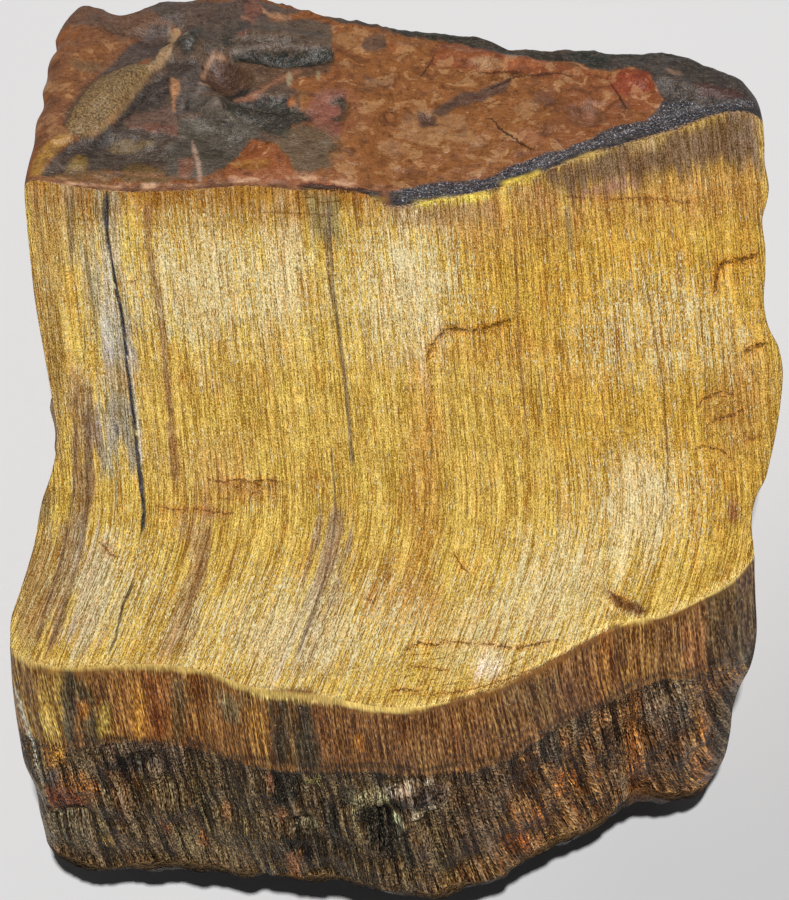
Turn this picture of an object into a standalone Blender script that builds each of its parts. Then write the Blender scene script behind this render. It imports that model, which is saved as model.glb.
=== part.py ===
"""Rough tiger's eye: one broken block of a fibrous quartz seam with its wall rock, lying on its back.

The front is drawn in a frame of its own, in millimetres: x runs to the right across the fibres, v up along
them and w out of the face. The stone then leans back by LEAN_DEG and rests on its flat sole at z = 0.
Going round the stone from its far edge, a section crosses the rust-red cap (the seam's wall), the narrow
bevel under it, the golden face, the dark band below the crease, the undercut, the sole and the back.
"""

import bpy
import numpy as np
from mathutils import noise

MM = 0.001

# How the stone lies.
LEAN_DEG = 8.0  # the face leans this much towards the front
FACE_HEIGHT = 37.0  # of the middle of the face above the sole
SHIFT_X, SHIFT_Y = -0.3, -2.7  # bring the middle of the stone's box over the origin
WIDTH = 75.0  # across the fibres, about

# The outline seen square to the face: x of each side at heights v.
LEFT_SIDE = (
    (-45.0, -37.0), (-39.3, -36.9), (-36.4, -36.9), (-33.5, -37.4), (-30.7, -37.9), (-25.2, -38.4),
    (-20.0, -38.4), (-17.5, -38.4), (-15.0, -37.7), (-10.0, -36.4), (-5.0, -35.6), (-2.5, -34.8),
    (2.0, -34.1), (5.0, -34.5), (10.0, -35.2), (15.0, -36.0), (20.0, -36.5), (25.0, -36.9),
    (27.9, -36.8), (30.2, -36.5), (33.6, -36.2), (36.9, -35.7), (40.3, -35.4), (47.0, -33.9),
)
RIGHT_SIDE = (
    (-36.0, 34.0), (-34.5, 34.8), (-31.2, 35.6), (-27.7, 35.6), (-26.0, 35.9), (-23.2, 36.9), (-20.5, 37.2),
    (-15.2, 36.4), (-12.5, 36.0), (-9.6, 35.8), (-7.6, 35.7), (-5.0, 36.3), (-3.0, 37.5), (-1.0, 38.1),
    (2.0, 38.5), (5.0, 38.9), (9.1, 38.9), (11.1, 38.4), (12.6, 37.6), (15.1, 37.0), (18.6, 37.1),
    (21.1, 37.0), (24.6, 36.8), (25.6, 37.1), (27.2, 37.4), (30.2, 37.1), (33.4, 37.1), (36.1, 36.4),
    (39.0, 35.0),
)

# The edges that cross the front: v at each x.
RIM = (
    (-36.0, 43.5), (-34.3, 45.4), (-32.8, 46.6), (-30.2, 46.0), (-27.6, 45.9), (-25.0, 47.0), (-22.4, 46.9),
    (-19.8, 47.5), (-15.1, 47.9), (-11.4, 46.9), (-6.7, 45.6), (-1.5, 44.6), (1.1, 43.7), (4.7, 43.2),
    (8.8, 42.9), (11.9, 41.7), (17.0, 41.0), (21.6, 40.9), (25.2, 40.4), (27.7, 40.8), (31.7, 39.2),
    (34.7, 38.0), (36.4, 37.2), (38.0, 37.0),
)
CAP_EDGE = (
    (-37.0, 28.1), (-33.5, 27.2), (-28.5, 26.5), (-21.5, 26.5), (-14.5, 27.0), (-9.5, 26.6), (-1.5, 26.0),
    (5.5, 26.3), (10.5, 27.2), (16.7, 29.5), (21.7, 31.5), (24.8, 32.8), (30.0, 34.6), (34.0, 35.2),
    (38.0, 35.3),
)
BROW = (
    (-37.0, 27.6), (-33.5, 26.7), (-28.5, 26.0), (-21.5, 26.0), (-14.5, 26.5), (-9.5, 26.1), (-2.6, 25.5),
    (-1.2, 24.5), (3.6, 25.0), (10.3, 26.3), (16.7, 28.6), (22.8, 30.6), (28.9, 32.4), (33.5, 34.0),
    (38.0, 34.3),
)
CREASE = (
    (-39.0, -20.3), (-33.2, -21.6), (-28.2, -21.4), (-24.2, -21.3), (-19.2, -21.9), (-13.3, -23.7),
    (-8.3, -24.0), (-5.4, -24.7), (-1.4, -25.4), (5.5, -24.9), (10.4, -23.5), (16.5, -20.6), (22.5, -17.5),
    (24.5, -16.8), (26.5, -16.7), (30.5, -15.0), (33.5, -13.3), (36.0, -11.2),
)
FOOT = (
    (-38.0, -42.6), (-35.3, -43.7), (-32.6, -44.5), (-29.9, -44.8), (-25.7, -44.1), (-20.4, -44.0),
    (-16.2, -45.0), (-9.9, -45.6), (-4.6, -45.4), (0.5, -45.9), (3.7, -46.6), (7.9, -45.9), (11.0, -45.2),
    (14.2, -43.4), (17.3, -42.1), (21.6, -40.2), (25.9, -37.4), (30.2, -37.0), (33.5, -35.7), (36.0, -33.0),
)

# How the front faces stand to one another.
CAP_TILT_DEG = 33.0  # the cap falls away behind the brow
BEVEL_TILT_DEG = 30.0
BAND_TILT_DEG = 41.0  # the band falls away below the crease
BEND_V, BEND_W = -4.0, -3.4  # where the fibres bend, and how deep the face lies there
UPPER_SLOPE, LOWER_SLOPE = 0.12, 0.34  # rise of the face above and below the bend
BEND_RADIUS = 5.0
SHEAR = 0.045  # the share of the width by which the fibres swing left below the bend
SHEAR_TOP, SHEAR_LENGTH = 0.0, 20.0
BROW_ROLL, BROW_ROLL_REACH = 1.0, 3.0
CORNER_DROP = 2.4  # the upper right corner lies lower than the rest of the face
CAP_CROWN, BAND_CROWN = 0.06, 0.06  # swell of the cap and the band, as a share of their height
END_CALM = 2.5  # relief dies away this close to the ends
CAP_NARROW = 4.0  # where the cap is shorter than this its relief dies away
EDGE_ROLL, EDGE_ROLL_REACH = 0.035, 1.0  # the worn edges where the ends begin: how far they draw in

# The underside: the sole's sides, and its front and back edges as y at each x.
SOLE_LEFT, SOLE_RIGHT = -28.0, 29.0
SOLE_FRONT = (
    (-30.0, -22.0), (-25.0, -29.0), (-15.0, -33.0), (-4.0, -31.0), (10.0, -34.0), (23.0, -28.0),
    (30.0, -19.0),
)
SOLE_BACK = (
    (-30.0, 25.0), (-25.0, 33.0), (-14.0, 38.0), (0.0, 35.0), (14.0, 33.0), (24.0, 28.0),
    (30.0, 20.0),
)
SOLE_WOBBLE = 1.1  # of its outline
UNDERCUT_SWELL, BACK_SWELL = 2.6, 3.2
CLEARANCE = 0.5  # of everything else above the ground

# The ends: how far out each one lies at the ground and above the height where it turns upright.
END_FOOT, END_FLAT, END_TURN = (-28.5, 29.5), (-34.4, 35.4), 7.0
END_BEVEL = 0.4  # the share of an end that turns from its rim into its flat
END_LINE = ((-22.0, 14.0), (27.0, 19.0))  # y, z of the line that the rings shrink to

# Lumps and hollows of the front: middle, half length, half width, turn in degrees and height.
CAP_LUMPS = (
    ((-21.2, 42.0), 3.0, 2.0, 20.0, 1.6),  # the dark knob
    ((-17.8, 38.6), 4.2, 2.8, -35.0, -2.0),  # the hollow beside it
    ((-18.2, 34.6), 2.4, 1.8, 0.0, 1.1),  # the smooth dome below the hollow
    ((-28.6, 37.0), 8.5, 2.8, 44.0, 1.1),  # the grainy ochre leaf
    ((-24.0, 43.6), 6.0, 2.2, 15.0, -1.0),
    ((-31.6, 42.6), 4.0, 3.0, 60.0, 0.8),
    ((-11.6, 40.4), 7.5, 1.3, -4.0, -1.3),  # the dark groove behind the middle
    ((-11.2, 42.6), 7.0, 1.6, -6.0, 0.9),  # and the ribs above it
    ((-17.0, 31.4), 8.0, 3.4, -24.0, -1.1),
    ((-27.5, 30.4), 6.5, 2.2, -10.0, -0.8),
    ((-6.1, 35.0), 1.9, 1.7, 0.0, -0.6),  # ringed spots
    ((3.6, 33.9), 1.3, 1.2, 0.0, -0.5),
    ((20.0, 34.2), 2.4, 1.8, 10.0, -0.6),
    ((9.0, 40.6), 9.0, 1.6, -10.0, 0.7),
    ((28.0, 37.4), 7.0, 1.6, -14.0, 0.8),
)
FACE_LUMPS = (
    ((37.6, 8.5), 3.2, 2.4, 0.0, 1.0),  # the knuckle on the right edge
    ((36.6, -9.6), 1.6, 4.4, 0.0, -1.1),
    ((24.2, -15.4), 2.4, 1.1, -30.0, 0.6),
    ((22.0, -15.8), 2.6, 0.9, -38.0, -0.9),  # the gouge above the crease
    ((-14.0, -4.2), 4.2, 1.3, 6.0, -0.7),  # shallow scallops in the bend
    ((-20.6, -5.6), 3.4, 1.0, -6.0, -0.5),
    ((-27.6, -10.0), 2.6, 1.4, 10.0, -0.4),
    ((10.5, -20.0), 8.0, 1.8, 4.0, 0.5),  # the raised flakes above the crease
    ((29.0, -8.0), 3.0, 6.0, -20.0, 0.4),
)
BAND_LUMPS = (
    ((-33.6, -38.0), 3.4, 2.6, 30.0, -1.0),
    ((2.6, -35.6), 4.2, 1.6, 8.0, 1.1),
    ((-9.6, -39.0), 3.0, 1.8, -10.0, -1.4),  # glassy chips
    ((-1.2, -38.6), 3.2, 2.4, 20.0, -1.3),
    ((-24.0, -37.0), 5.0, 2.2, 12.0, 0.8),
    ((14.0, -37.5), 4.5, 2.4, 30.0, 0.8),
    ((24.0, -30.0), 4.0, 2.4, 30.0, -0.9),
    ((33.4, -27.0), 2.4, 4.2, 0.0, -0.8),
)
# Scars where a flake left the face: the upper edge as v at each x, the depth, and the length it fades over.
SCARS = (
    (((3.0, 9.0), (4.6, 11.4), (5.4, 12.2), (9.6, 12.2), (12.4, 13.2)), 0.7, 12.0),
    (((32.0, 18.6), (32.8, 19.0), (35.0, 19.3), (37.4, 20.4)), 0.8, 9.0),
    (((34.4, 9.2), (36.0, 10.1), (38.2, 10.9)), 0.6, 6.0),
    (((0.6, -20.6), (2.4, -19.4), (5.0, -19.3), (12.0, -20.0), (17.0, -19.1)), 0.5, 3.0),
)
SCAR_SIDE = 0.8  # how fast a scar runs out at its ends

# Roughness in millimetres where each span of a section starts.
ROUGHNESS = {"cap": 0.7, "bevel": 0.25, "face": 0.12, "band": 0.25, "undercut": 0.9, "sole": 0.0, "back": 0.0}
BACK_ROUGHNESS, END_ROUGHNESS = 1.9, 1.6
STRAND_RISE, STRAND_WIDTH, STRAND_LENGTH = 0.28, 4.5, 40.0  # bundles of fibres on the face and band
COARSE, MEDIUM, FINE = 15.0, 6.5, 3.0  # sizes of the lumps

# The mesh: columns along the stone, rows in each span of a section, rings on each end.
COLUMNS = 56
SPANS = {"cap": 10, "bevel": 1, "face": 23, "band": 11, "undercut": 5, "sole": 11, "back": 7}
END_RINGS, END_KNOTS = 6, 12
SHARP_DEG = 24.0

GOLDEN_BROWN = (0.36, 0.21, 0.065, 1.0)


def curve(points):
    """A function that follows the points smoothly and stays level past its ends."""
    at, value = np.array(points, float).T
    slope = np.gradient(value, at)

    def follow(x):
        i = np.clip(np.searchsorted(at, x) - 1, 0, len(at) - 2)
        gap = at[i + 1] - at[i]
        t = np.clip((x - at[i]) / gap, 0.0, 1.0)
        level = value[i] * (1 - t) ** 2 * (1 + 2 * t) + value[i + 1] * t**2 * (3 - 2 * t)
        return level + gap * t * (1 - t) * (slope[i] * (1 - t) - slope[i + 1] * t)

    return follow


def ramp(x):
    """0 below 0, 1 above 1, and a smooth step between."""
    x = np.clip(x, 0.0, 1.0)
    return x * x * (3 - 2 * x)


left_side, right_side = curve(LEFT_SIDE), curve(RIGHT_SIDE)
sole_front, sole_back = curve(SOLE_FRONT), curve(SOLE_BACK)


def fibre_x(u, v):
    """x at height v of the fibre that starts at share u of the width."""
    swing = SHEAR * np.sin(np.pi * u) * ramp((SHEAR_TOP - v) / SHEAR_LENGTH)
    return left_side(v) + (right_side(v) - left_side(v)) * (u - swing)


def edge_height(edge, u):
    """v at which each fibre meets an edge that crosses the front."""
    follow = curve(edge)
    v = follow(WIDTH * (u - 0.5))
    for _ in range(8):
        v = follow(fibre_x(u, v))
    return v


def face_depth(x, v, brow):
    """w of the golden face: two flats that meet in a soft hollow, rolling back at the brow."""
    below = BEND_V - v
    soft = np.sqrt(below**2 + BEND_RADIUS**2) - BEND_RADIUS
    w = BEND_W + (LOWER_SLOPE + UPPER_SLOPE) / 2 * soft + (LOWER_SLOPE - UPPER_SLOPE) / 2 * below
    w = w - BROW_ROLL * ramp(1.0 - (brow - v) / BROW_ROLL_REACH)
    return w - CORNER_DROP * ramp((x - 4.0) / 32.0) * ramp((v - 16.0) / 18.0)


def falls(start_w, distance, tilt_deg):
    """w after going a distance down a slope."""
    return start_w - distance * np.tan(np.radians(tilt_deg))


def front(u, shares):
    """x, v, w of the rows of the cap, bevel, face and band, for fibres u and each span's row shares."""
    rim, cap_edge, brow = (edge_height(edge, u) for edge in (RIM, CAP_EDGE, BROW))
    crease, foot = edge_height(CREASE, u), edge_height(FOOT, u)
    brow_w = face_depth(fibre_x(u, brow), brow, brow)
    bevel_w = falls(brow_w, cap_edge - brow, BEVEL_TILT_DEG)
    crease_w = face_depth(fibre_x(u, crease), crease, brow)

    t = shares["cap"]
    cap_v = rim + (cap_edge - rim) * t
    cap_w = falls(bevel_w, cap_v - cap_edge, CAP_TILT_DEG)
    cap_w = cap_w + CAP_CROWN * (rim - cap_edge) * np.sin(np.pi * t)
    t = shares["bevel"]
    bevel_v = cap_edge + (brow - cap_edge) * t
    bevel_w = bevel_w + (brow_w - bevel_w) * t
    face_v = brow + (crease - brow) * shares["face"]
    face_w = face_depth(fibre_x(u, face_v), face_v, brow)
    t = shares["band"]
    band_v = crease + (foot - crease) * t
    band_w = falls(crease_w, crease - band_v, BAND_TILT_DEG)
    band_w = band_w + BAND_CROWN * (crease - foot) * np.sin(np.pi * t)

    v = np.concatenate([cap_v, bevel_v, face_v, band_v], axis=1)
    w = np.concatenate([cap_w, bevel_w, face_w, band_w], axis=1)
    return np.stack([fibre_x(u, v), v, w], -1)


def on_bench(points):
    """From the face's own x, v, w to x, y, z with the stone at rest on its sole."""
    lean = np.radians(LEAN_DEG)
    x, v, w = np.moveaxis(points, -1, 0)
    y = v * np.cos(lean) - w * np.sin(lean)
    z = v * np.sin(lean) + w * np.cos(lean) + FACE_HEIGHT
    return np.stack([x, y, z], -1)


def between(start, end, shares, swell=0.0):
    """Rows from one line of points to another, swelling out along y between them."""
    t = shares[..., None]
    out = np.array([0.0, swell, 0.0])
    return start + (end - start) * t + out * np.sin(np.pi * t)


def row_shares():
    """How far along its span each row lies."""
    return {name: np.arange(count)[None, :] / count for name, count in SPANS.items()}


def skin(u):
    """The stone before its relief, by column and row: the front's x, v, w, and all rows on the bench."""
    shares = row_shares()
    foot_shares = {**shares, "band": np.ones((1, 1))}
    face_frame = front(u, shares)
    foot = on_bench(front(u, foot_shares)[:, -1:])
    above = on_bench(face_frame)
    rim = above[:, :1]
    x = SOLE_LEFT + (SOLE_RIGHT - SOLE_LEFT) * u
    sole_start = np.stack([x, sole_front(x), 0.0 * x], -1)
    sole_end = np.stack([x, sole_back(x), 0.0 * x], -1)
    undercut = between(foot, sole_start, shares["undercut"], -UNDERCUT_SWELL)
    sole = between(sole_start, sole_end, shares["sole"])
    back = between(sole_end, rim, shares["back"], BACK_SWELL)
    return face_frame, np.concatenate([above, undercut, sole, back], axis=1)


def outward(points):
    """Unit normals of a grid of points whose rows close on themselves."""
    along = np.gradient(points, axis=0)
    around = np.roll(points, -1, axis=1) - np.roll(points, 1, axis=1)
    normal = np.cross(around, along)
    return normal / np.linalg.norm(normal, axis=-1, keepdims=True)


def lumps(points, size, seed):
    """Smooth noise from about -1 to 1 at each point, in lumps about as wide as size."""
    spots = (points.reshape(-1, 3) / size + 13.7 * seed).tolist()
    return 1.6 * np.array([noise.noise(spot) for spot in spots]).reshape(points.shape[:-1])


def broken(points):
    """The relief of a broken surface from about -1 to 1: flats that meet in ridges, with lumps on them."""
    ridges = 0.5 - np.abs(lumps(points, COARSE, 1))
    return ridges + 0.35 * lumps(points, MEDIUM, 2) + 0.25 * lumps(points, FINE, 3)


def strands(u, v):
    """Bundles of fibres from about -1 to 1, side by side across the stone."""
    return lumps(np.stack(np.broadcast_arrays(WIDTH * u / STRAND_WIDTH, v / STRAND_LENGTH, 0.5), -1), 1.0, 4)


def oval(x, v, middle, long, wide, turn_deg):
    """1 at the middle of an oval on the front, falling smoothly to 0 at its edge."""
    turn = np.radians(turn_deg)
    dx, dv = x - middle[0], v - middle[1]
    along = dx * np.cos(turn) + dv * np.sin(turn)
    across = dv * np.cos(turn) - dx * np.sin(turn)
    return ramp(1.0 - np.hypot(along / long, across / wide))


def scar_depth(x, v, edge, depth, fade):
    """How far a scar is sunk: sharp at its upper edge, running out below it and at both ends."""
    upper = np.interp(x, *np.array(edge).T)
    inside = ramp((x - edge[0][0]) / SCAR_SIDE) * ramp((edge[-1][0] - x) / SCAR_SIDE)
    return depth * inside * (v < upper) * ramp(1.0 - (upper - v) / fade)


def front_relief(face_frame):
    """Height of the named lumps, hollows and scars over the front."""
    x, v = face_frame[..., 0], face_frame[..., 1]
    height = np.zeros_like(x)
    for middle, long, wide, turn_deg, rise in CAP_LUMPS + FACE_LUMPS + BAND_LUMPS:
        height += rise * oval(x, v, middle, long, wide, turn_deg)
    for edge, depth, fade in SCARS:
        height -= scar_depth(x, v, edge, depth, fade)
    return height


def row_of(span):
    """The first row of a span."""
    names = list(SPANS)
    return sum(SPANS[name] for name in names[: names.index(span)])


def roughness():
    """How rough each row is: from one span's start value to the next, and swelling over the back."""
    names = list(SPANS)
    rows = []
    for name, following in zip(names, names[1:] + names[:1]):
        t = np.arange(SPANS[name]) / SPANS[name]
        rows.append(ROUGHNESS[name] + (ROUGHNESS[following] - ROUGHNESS[name]) * t)
    rows[names.index("sole")] *= 0.0
    rows[names.index("back")] += BACK_ROUGHNESS * np.sin(np.pi * t)
    return np.concatenate(rows)


def body_points():
    """All columns of the stone with their relief."""
    u = (np.arange(COLUMNS) / (COLUMNS - 1))[:, None]
    face_frame, points = skin(u)
    fibrous = slice(row_of("face") + 1, row_of("undercut"))
    sole = slice(row_of("sole"), row_of("back") + 1)
    height = roughness() * broken(points)
    height[:, : face_frame.shape[1]] += front_relief(face_frame)
    height[:, fibrous] += STRAND_RISE * strands(u, face_frame[:, fibrous, 1])
    cap = slice(0, row_of("bevel"))
    cap_length = np.linalg.norm(points[:, :1] - points[:, cap.stop : cap.stop + 1], axis=-1)
    height[:, cap] *= ramp(cap_length / CAP_NARROW)
    from_end = WIDTH * np.minimum(u, 1.0 - u)
    height *= ramp(from_end / END_CALM)
    raised = points + outward(points) * height[..., None]
    middle = np.mean(END_LINE, axis=0)
    raised[..., 1:] += (middle - raised[..., 1:]) * EDGE_ROLL * np.exp(-from_end / EDGE_ROLL_REACH)[..., None]
    raised[..., 2] = np.maximum(raised[..., 2], CLEARANCE)
    raised[:, sole] = points[:, sole]
    raised[:, sole, 0] += SOLE_WOBBLE * lumps(points[:, sole], MEDIUM, 5)
    raised[:, sole, 1] += SOLE_WOBBLE * lumps(points[:, sole], MEDIUM, 6)
    return raised


def end_x(points, side):
    """x of the broken flat of one end, over the points' y and z."""
    foot, flat = END_FOOT[side > 0], END_FLAT[side > 0]
    over = points * (0.0, 1.0, 1.0) + (flat, 0.0, 0.0)
    upright = foot + (flat - foot) * (1.0 - np.exp(-points[:, 2] / END_TURN))
    return upright + side * END_ROUGHNESS * broken(over)


def end_rings(loop, side):
    """One end of the stone: rings from its rim inwards, the knots of its middle line, and each row's knot."""
    (near_y, near_z), (far_y, far_z) = END_LINE
    share = np.clip((loop[:, 1] - near_y) / (far_y - near_y), 0.0, 1.0)
    knot = np.rint(share * (END_KNOTS - 1)).astype(int)
    line = np.linspace((0.0, near_y, near_z), (0.0, far_y, far_z), END_KNOTS)
    line[:, 0] = end_x(line, side)
    rings = []
    for ring in range(1, END_RINGS + 1):
        t = ring / (END_RINGS + 1)
        points = loop + (line[knot] - loop) * t
        points[:, 0] = loop[:, 0] + (end_x(points, side) - loop[:, 0]) * ramp(t / END_BEVEL)
        rings.append(points)
    return rings, line, knot.tolist()


def end_faces(ring, first_knot, knot, side):
    """Faces from the last ring of an end, whose first point is given, to the knots of its middle line."""
    faces = []
    for row, here in enumerate(knot):
        above = (row + 1) % len(knot)
        there = knot[above]
        back = range(there, here, 1 if here > there else -1)
        face = [ring + row, ring + above, *(first_knot + k for k in (*back, here))]
        faces.append(face[:: int(side)])
    return faces


def stone_mesh():
    """The closed mesh: quads from loop to loop, and faces that meet along the middle line of each end."""
    body = body_points()
    rows = body.shape[1]
    left, left_line, left_knot = end_rings(body[0], -1.0)
    right, right_line, right_knot = end_rings(body[-1], 1.0)
    loops = [*reversed(left), *body, *right]
    last = (len(loops) - 1) * rows
    knots = len(loops) * rows
    faces = end_faces(0, knots, left_knot, -1.0) + end_faces(last, knots + END_KNOTS, right_knot, 1.0)
    for a in range(0, last, rows):
        for row in range(rows):
            above = (row + 1) % rows
            faces.append((a + row, a + above, a + rows + above, a + rows + row))
    points = np.concatenate([*loops, left_line, right_line])
    mesh = bpy.data.meshes.new("tigers_eye")
    points = (points + (SHIFT_X, SHIFT_Y, 0.0)) * MM
    mesh.from_pydata(points.tolist(), [], faces)
    return mesh


def finish_of(name, colour):
    """The stone's plain material."""
    material = bpy.data.materials.new(name)
    material.use_nodes = True
    shader = material.node_tree.nodes["Principled BSDF"]
    shader.inputs["Base Color"].default_value = colour
    shader.inputs["Roughness"].default_value = 0.5
    shader.inputs["Metallic"].default_value = 0.0
    return material


def main():
    for thing in list(bpy.data.objects):
        bpy.data.objects.remove(thing, do_unlink=True)
    mesh = stone_mesh()
    mesh.shade_smooth()
    mesh.set_sharp_from_angle(angle=np.radians(SHARP_DEG))
    mesh.materials.append(finish_of("tigers_eye", GOLDEN_BROWN))
    stone = bpy.data.objects.new("tigers_eye", mesh)
    bpy.context.scene.collection.objects.link(stone)


main()
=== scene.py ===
import bpy
import numpy as np
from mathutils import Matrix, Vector, noise


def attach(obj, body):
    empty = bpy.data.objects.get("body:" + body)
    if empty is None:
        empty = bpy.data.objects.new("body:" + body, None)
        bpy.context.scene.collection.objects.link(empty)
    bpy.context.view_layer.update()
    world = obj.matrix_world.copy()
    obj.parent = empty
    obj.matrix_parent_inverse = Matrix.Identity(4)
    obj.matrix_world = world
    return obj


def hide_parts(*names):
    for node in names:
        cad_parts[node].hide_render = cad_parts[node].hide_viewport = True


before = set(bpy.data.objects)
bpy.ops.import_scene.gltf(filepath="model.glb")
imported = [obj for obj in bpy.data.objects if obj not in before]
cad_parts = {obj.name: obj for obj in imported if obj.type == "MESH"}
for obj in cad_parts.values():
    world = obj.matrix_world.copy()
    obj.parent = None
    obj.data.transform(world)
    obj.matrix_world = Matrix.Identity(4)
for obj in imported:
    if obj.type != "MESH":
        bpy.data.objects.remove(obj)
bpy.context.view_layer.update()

# Rough tiger's eye. The stone is one mesh, drawn in millimetres from nearly the same outlines and edges as
# its CAD solid, but fine enough to hold the bundles of fibres, the broken flakes and the pits. Each vertex
# also keeps its colour, where it lies along and across the fibres, and how far it is from cracks and edges,
# and the materials are painted from those.

MM = 0.001

FLOOR_SIZE, FLOOR_Z = 4.0, -0.0001
# The floor carries painted shade that darkens it towards the lower right of the stone.
FLOOR_PAINTED_SHADE, FLOOR_PALE, FLOOR_ROUGHNESS = (200, 200, 202), (222, 222, 224), 0.8
FLOOR_SHADE = (0.02, 0.09)  # how far to the lower right of the stone the floor starts and ends to darken
SKY_COLOUR, SKY_STRENGTH = (0.97, 0.98, 1.0), 0.04
# Name, place in metres, size, power and colour.
LIGHTS = (
    ("key", (0.004, 0.045, 0.7), 0.028, 4.7, (1.0, 0.99, 0.97)),
    ("fill", (0.12, 0.5, 0.5), 0.5, 0.2, (0.98, 0.99, 1.0)),
)
LIGHT_AIM = (0.0, 0.0, 0.02)
CAMERA_LENS, CAMERA_SENSOR, CAMERA_CLIP = 120.0, 36.0, (0.01, 20.0)
CAMERA_DISTANCE = 300.0  # from the face's own origin, in millimetres

# How the stone lies.
LEAN_DEG = 8.0  # the face leans this much towards the front
FACE_HEIGHT = 37.0  # of the middle of the face above the sole
SHIFT_X, SHIFT_Y = -0.3, -2.7  # bring the middle of the stone's box over the origin
WIDTH = 75.0  # across the fibres, about

# The outline seen square to the face: x of each side at heights v.
LEFT_SIDE = (
    (-45.0, -36.8), (-41.5, -37.0), (-39.3, -37.2), (-36.4, -37.3), (-33.5, -38.1), (-30.7, -38.3),
    (-25.2, -38.5), (-20.0, -38.4), (-17.5, -38.4), (-15.0, -37.7), (-10.0, -36.4), (-5.0, -35.6),
    (-2.5, -34.8), (2.0, -34.2), (5.0, -34.6), (10.0, -35.4), (15.0, -36.2), (20.0, -36.7), (25.0, -37.1),
    (27.3, -37.3), (30.0, -37.0), (32.0, -36.6), (34.9, -36.4), (36.2, -35.9), (38.2, -36.1), (39.4, -35.8),
    (41.0, -35.8), (42.0, -35.6), (42.9, -35.1), (44.0, -35.3), (47.0, -35.0),
)
RIGHT_SIDE = (
    (-36.0, 34.6), (-34.5, 35.2), (-31.2, 35.6), (-27.7, 35.6), (-26.0, 35.9), (-23.2, 36.9), (-20.5, 37.2),
    (-15.2, 36.7), (-12.5, 36.4), (-9.6, 36.2), (-7.6, 36.1), (-5.0, 36.6), (-3.0, 37.6), (-1.0, 38.1),
    (2.0, 38.7), (5.0, 39.1), (9.1, 39.2), (11.1, 38.7), (12.6, 37.9), (15.1, 37.3), (18.6, 37.4),
    (21.1, 37.4), (24.6, 37.2), (25.6, 37.5), (27.2, 37.8), (30.2, 37.4), (33.4, 37.4), (36.1, 37.1),
    (39.0, 36.2),
)

# The edges that cross the front: v at each x.
RIM = (
    (-36.0, 43.5), (-34.3, 45.4), (-32.8, 46.6), (-30.2, 46.0), (-27.6, 45.9), (-25.0, 47.0), (-22.4, 46.9),
    (-19.8, 47.5), (-15.1, 47.9), (-11.4, 46.9), (-6.7, 45.3), (-1.5, 44.2), (1.1, 43.7), (4.7, 43.2),
    (8.8, 42.9), (11.9, 41.7), (17.0, 41.0), (21.6, 40.9), (25.2, 40.4), (27.7, 40.8), (31.7, 39.2),
    (34.7, 38.0), (36.4, 37.2), (38.0, 37.0),
)
CAP_EDGE = (
    (-37.0, 28.1), (-33.5, 27.2), (-28.5, 26.5), (-21.5, 26.5), (-14.5, 27.0), (-9.5, 26.6), (-1.5, 26.0),
    (5.5, 26.3), (10.5, 27.2), (16.7, 29.5), (21.7, 31.5), (24.8, 32.8), (30.0, 34.6), (34.0, 35.2),
    (38.0, 35.3),
)
BROW = (
    (-37.0, 27.6), (-33.5, 26.7), (-28.5, 26.0), (-21.5, 26.0), (-14.5, 26.5), (-9.5, 26.1), (-2.6, 25.5),
    (-1.2, 24.5), (3.6, 25.0), (10.3, 26.3), (16.7, 28.6), (22.8, 30.6), (28.9, 32.4), (33.5, 34.0),
    (38.0, 34.3),
)
CREASE = (
    (-39.0, -20.3), (-33.2, -21.6), (-28.2, -21.4), (-24.2, -21.3), (-19.2, -21.9), (-13.3, -23.7),
    (-8.3, -24.0), (-5.4, -24.7), (-1.4, -25.4), (5.5, -24.9), (10.4, -23.5), (16.5, -20.6), (22.5, -17.5),
    (24.5, -16.8), (26.5, -16.7), (30.5, -15.0), (33.5, -13.3), (36.0, -11.2),
)
FOOT = (
    (-38.0, -42.6), (-35.3, -43.7), (-32.6, -44.5), (-29.9, -44.8), (-25.7, -44.1), (-20.4, -44.0),
    (-16.2, -45.0), (-9.9, -45.6), (-4.6, -45.4), (0.5, -45.9), (3.7, -46.6), (7.9, -45.9), (11.0, -45.2),
    (14.2, -43.2), (17.3, -41.7), (21.6, -39.6), (25.9, -36.7), (30.2, -37.0), (33.5, -36.7), (36.0, -34.6),
)

# How the front faces stand to one another.
CAP_TILT_DEG = 33.0  # the cap falls away behind the brow
BEVEL_TILT_DEG = 30.0
BAND_TILT_DEG = 41.0  # the band falls away below the crease
BEND_V, BEND_W = -4.0, -3.4  # where the fibres bend, and how deep the face lies there
UPPER_SLOPE, LOWER_SLOPE = 0.12, 0.34  # rise of the face above and below the bend
BEND_RADIUS = 5.0
SHEAR = 0.045  # the share of the width by which the fibres swing left below the bend
SHEAR_TOP, SHEAR_LENGTH = 0.0, 20.0
BROW_ROLL, BROW_ROLL_REACH = 1.0, 3.0
CORNER_DROP = 2.4  # the upper right corner lies lower than the rest of the face
CAP_CROWN, BAND_CROWN = 0.06, 0.06  # swell of the cap and the band, as a share of their height
END_CALM = 2.5  # relief dies away this close to the ends
CAP_NARROW = 4.0  # where the cap is shorter than this its relief dies away
EDGE_ROLL, EDGE_ROLL_REACH = 0.035, 1.0  # the worn edges where the ends begin: how far they draw in

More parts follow.
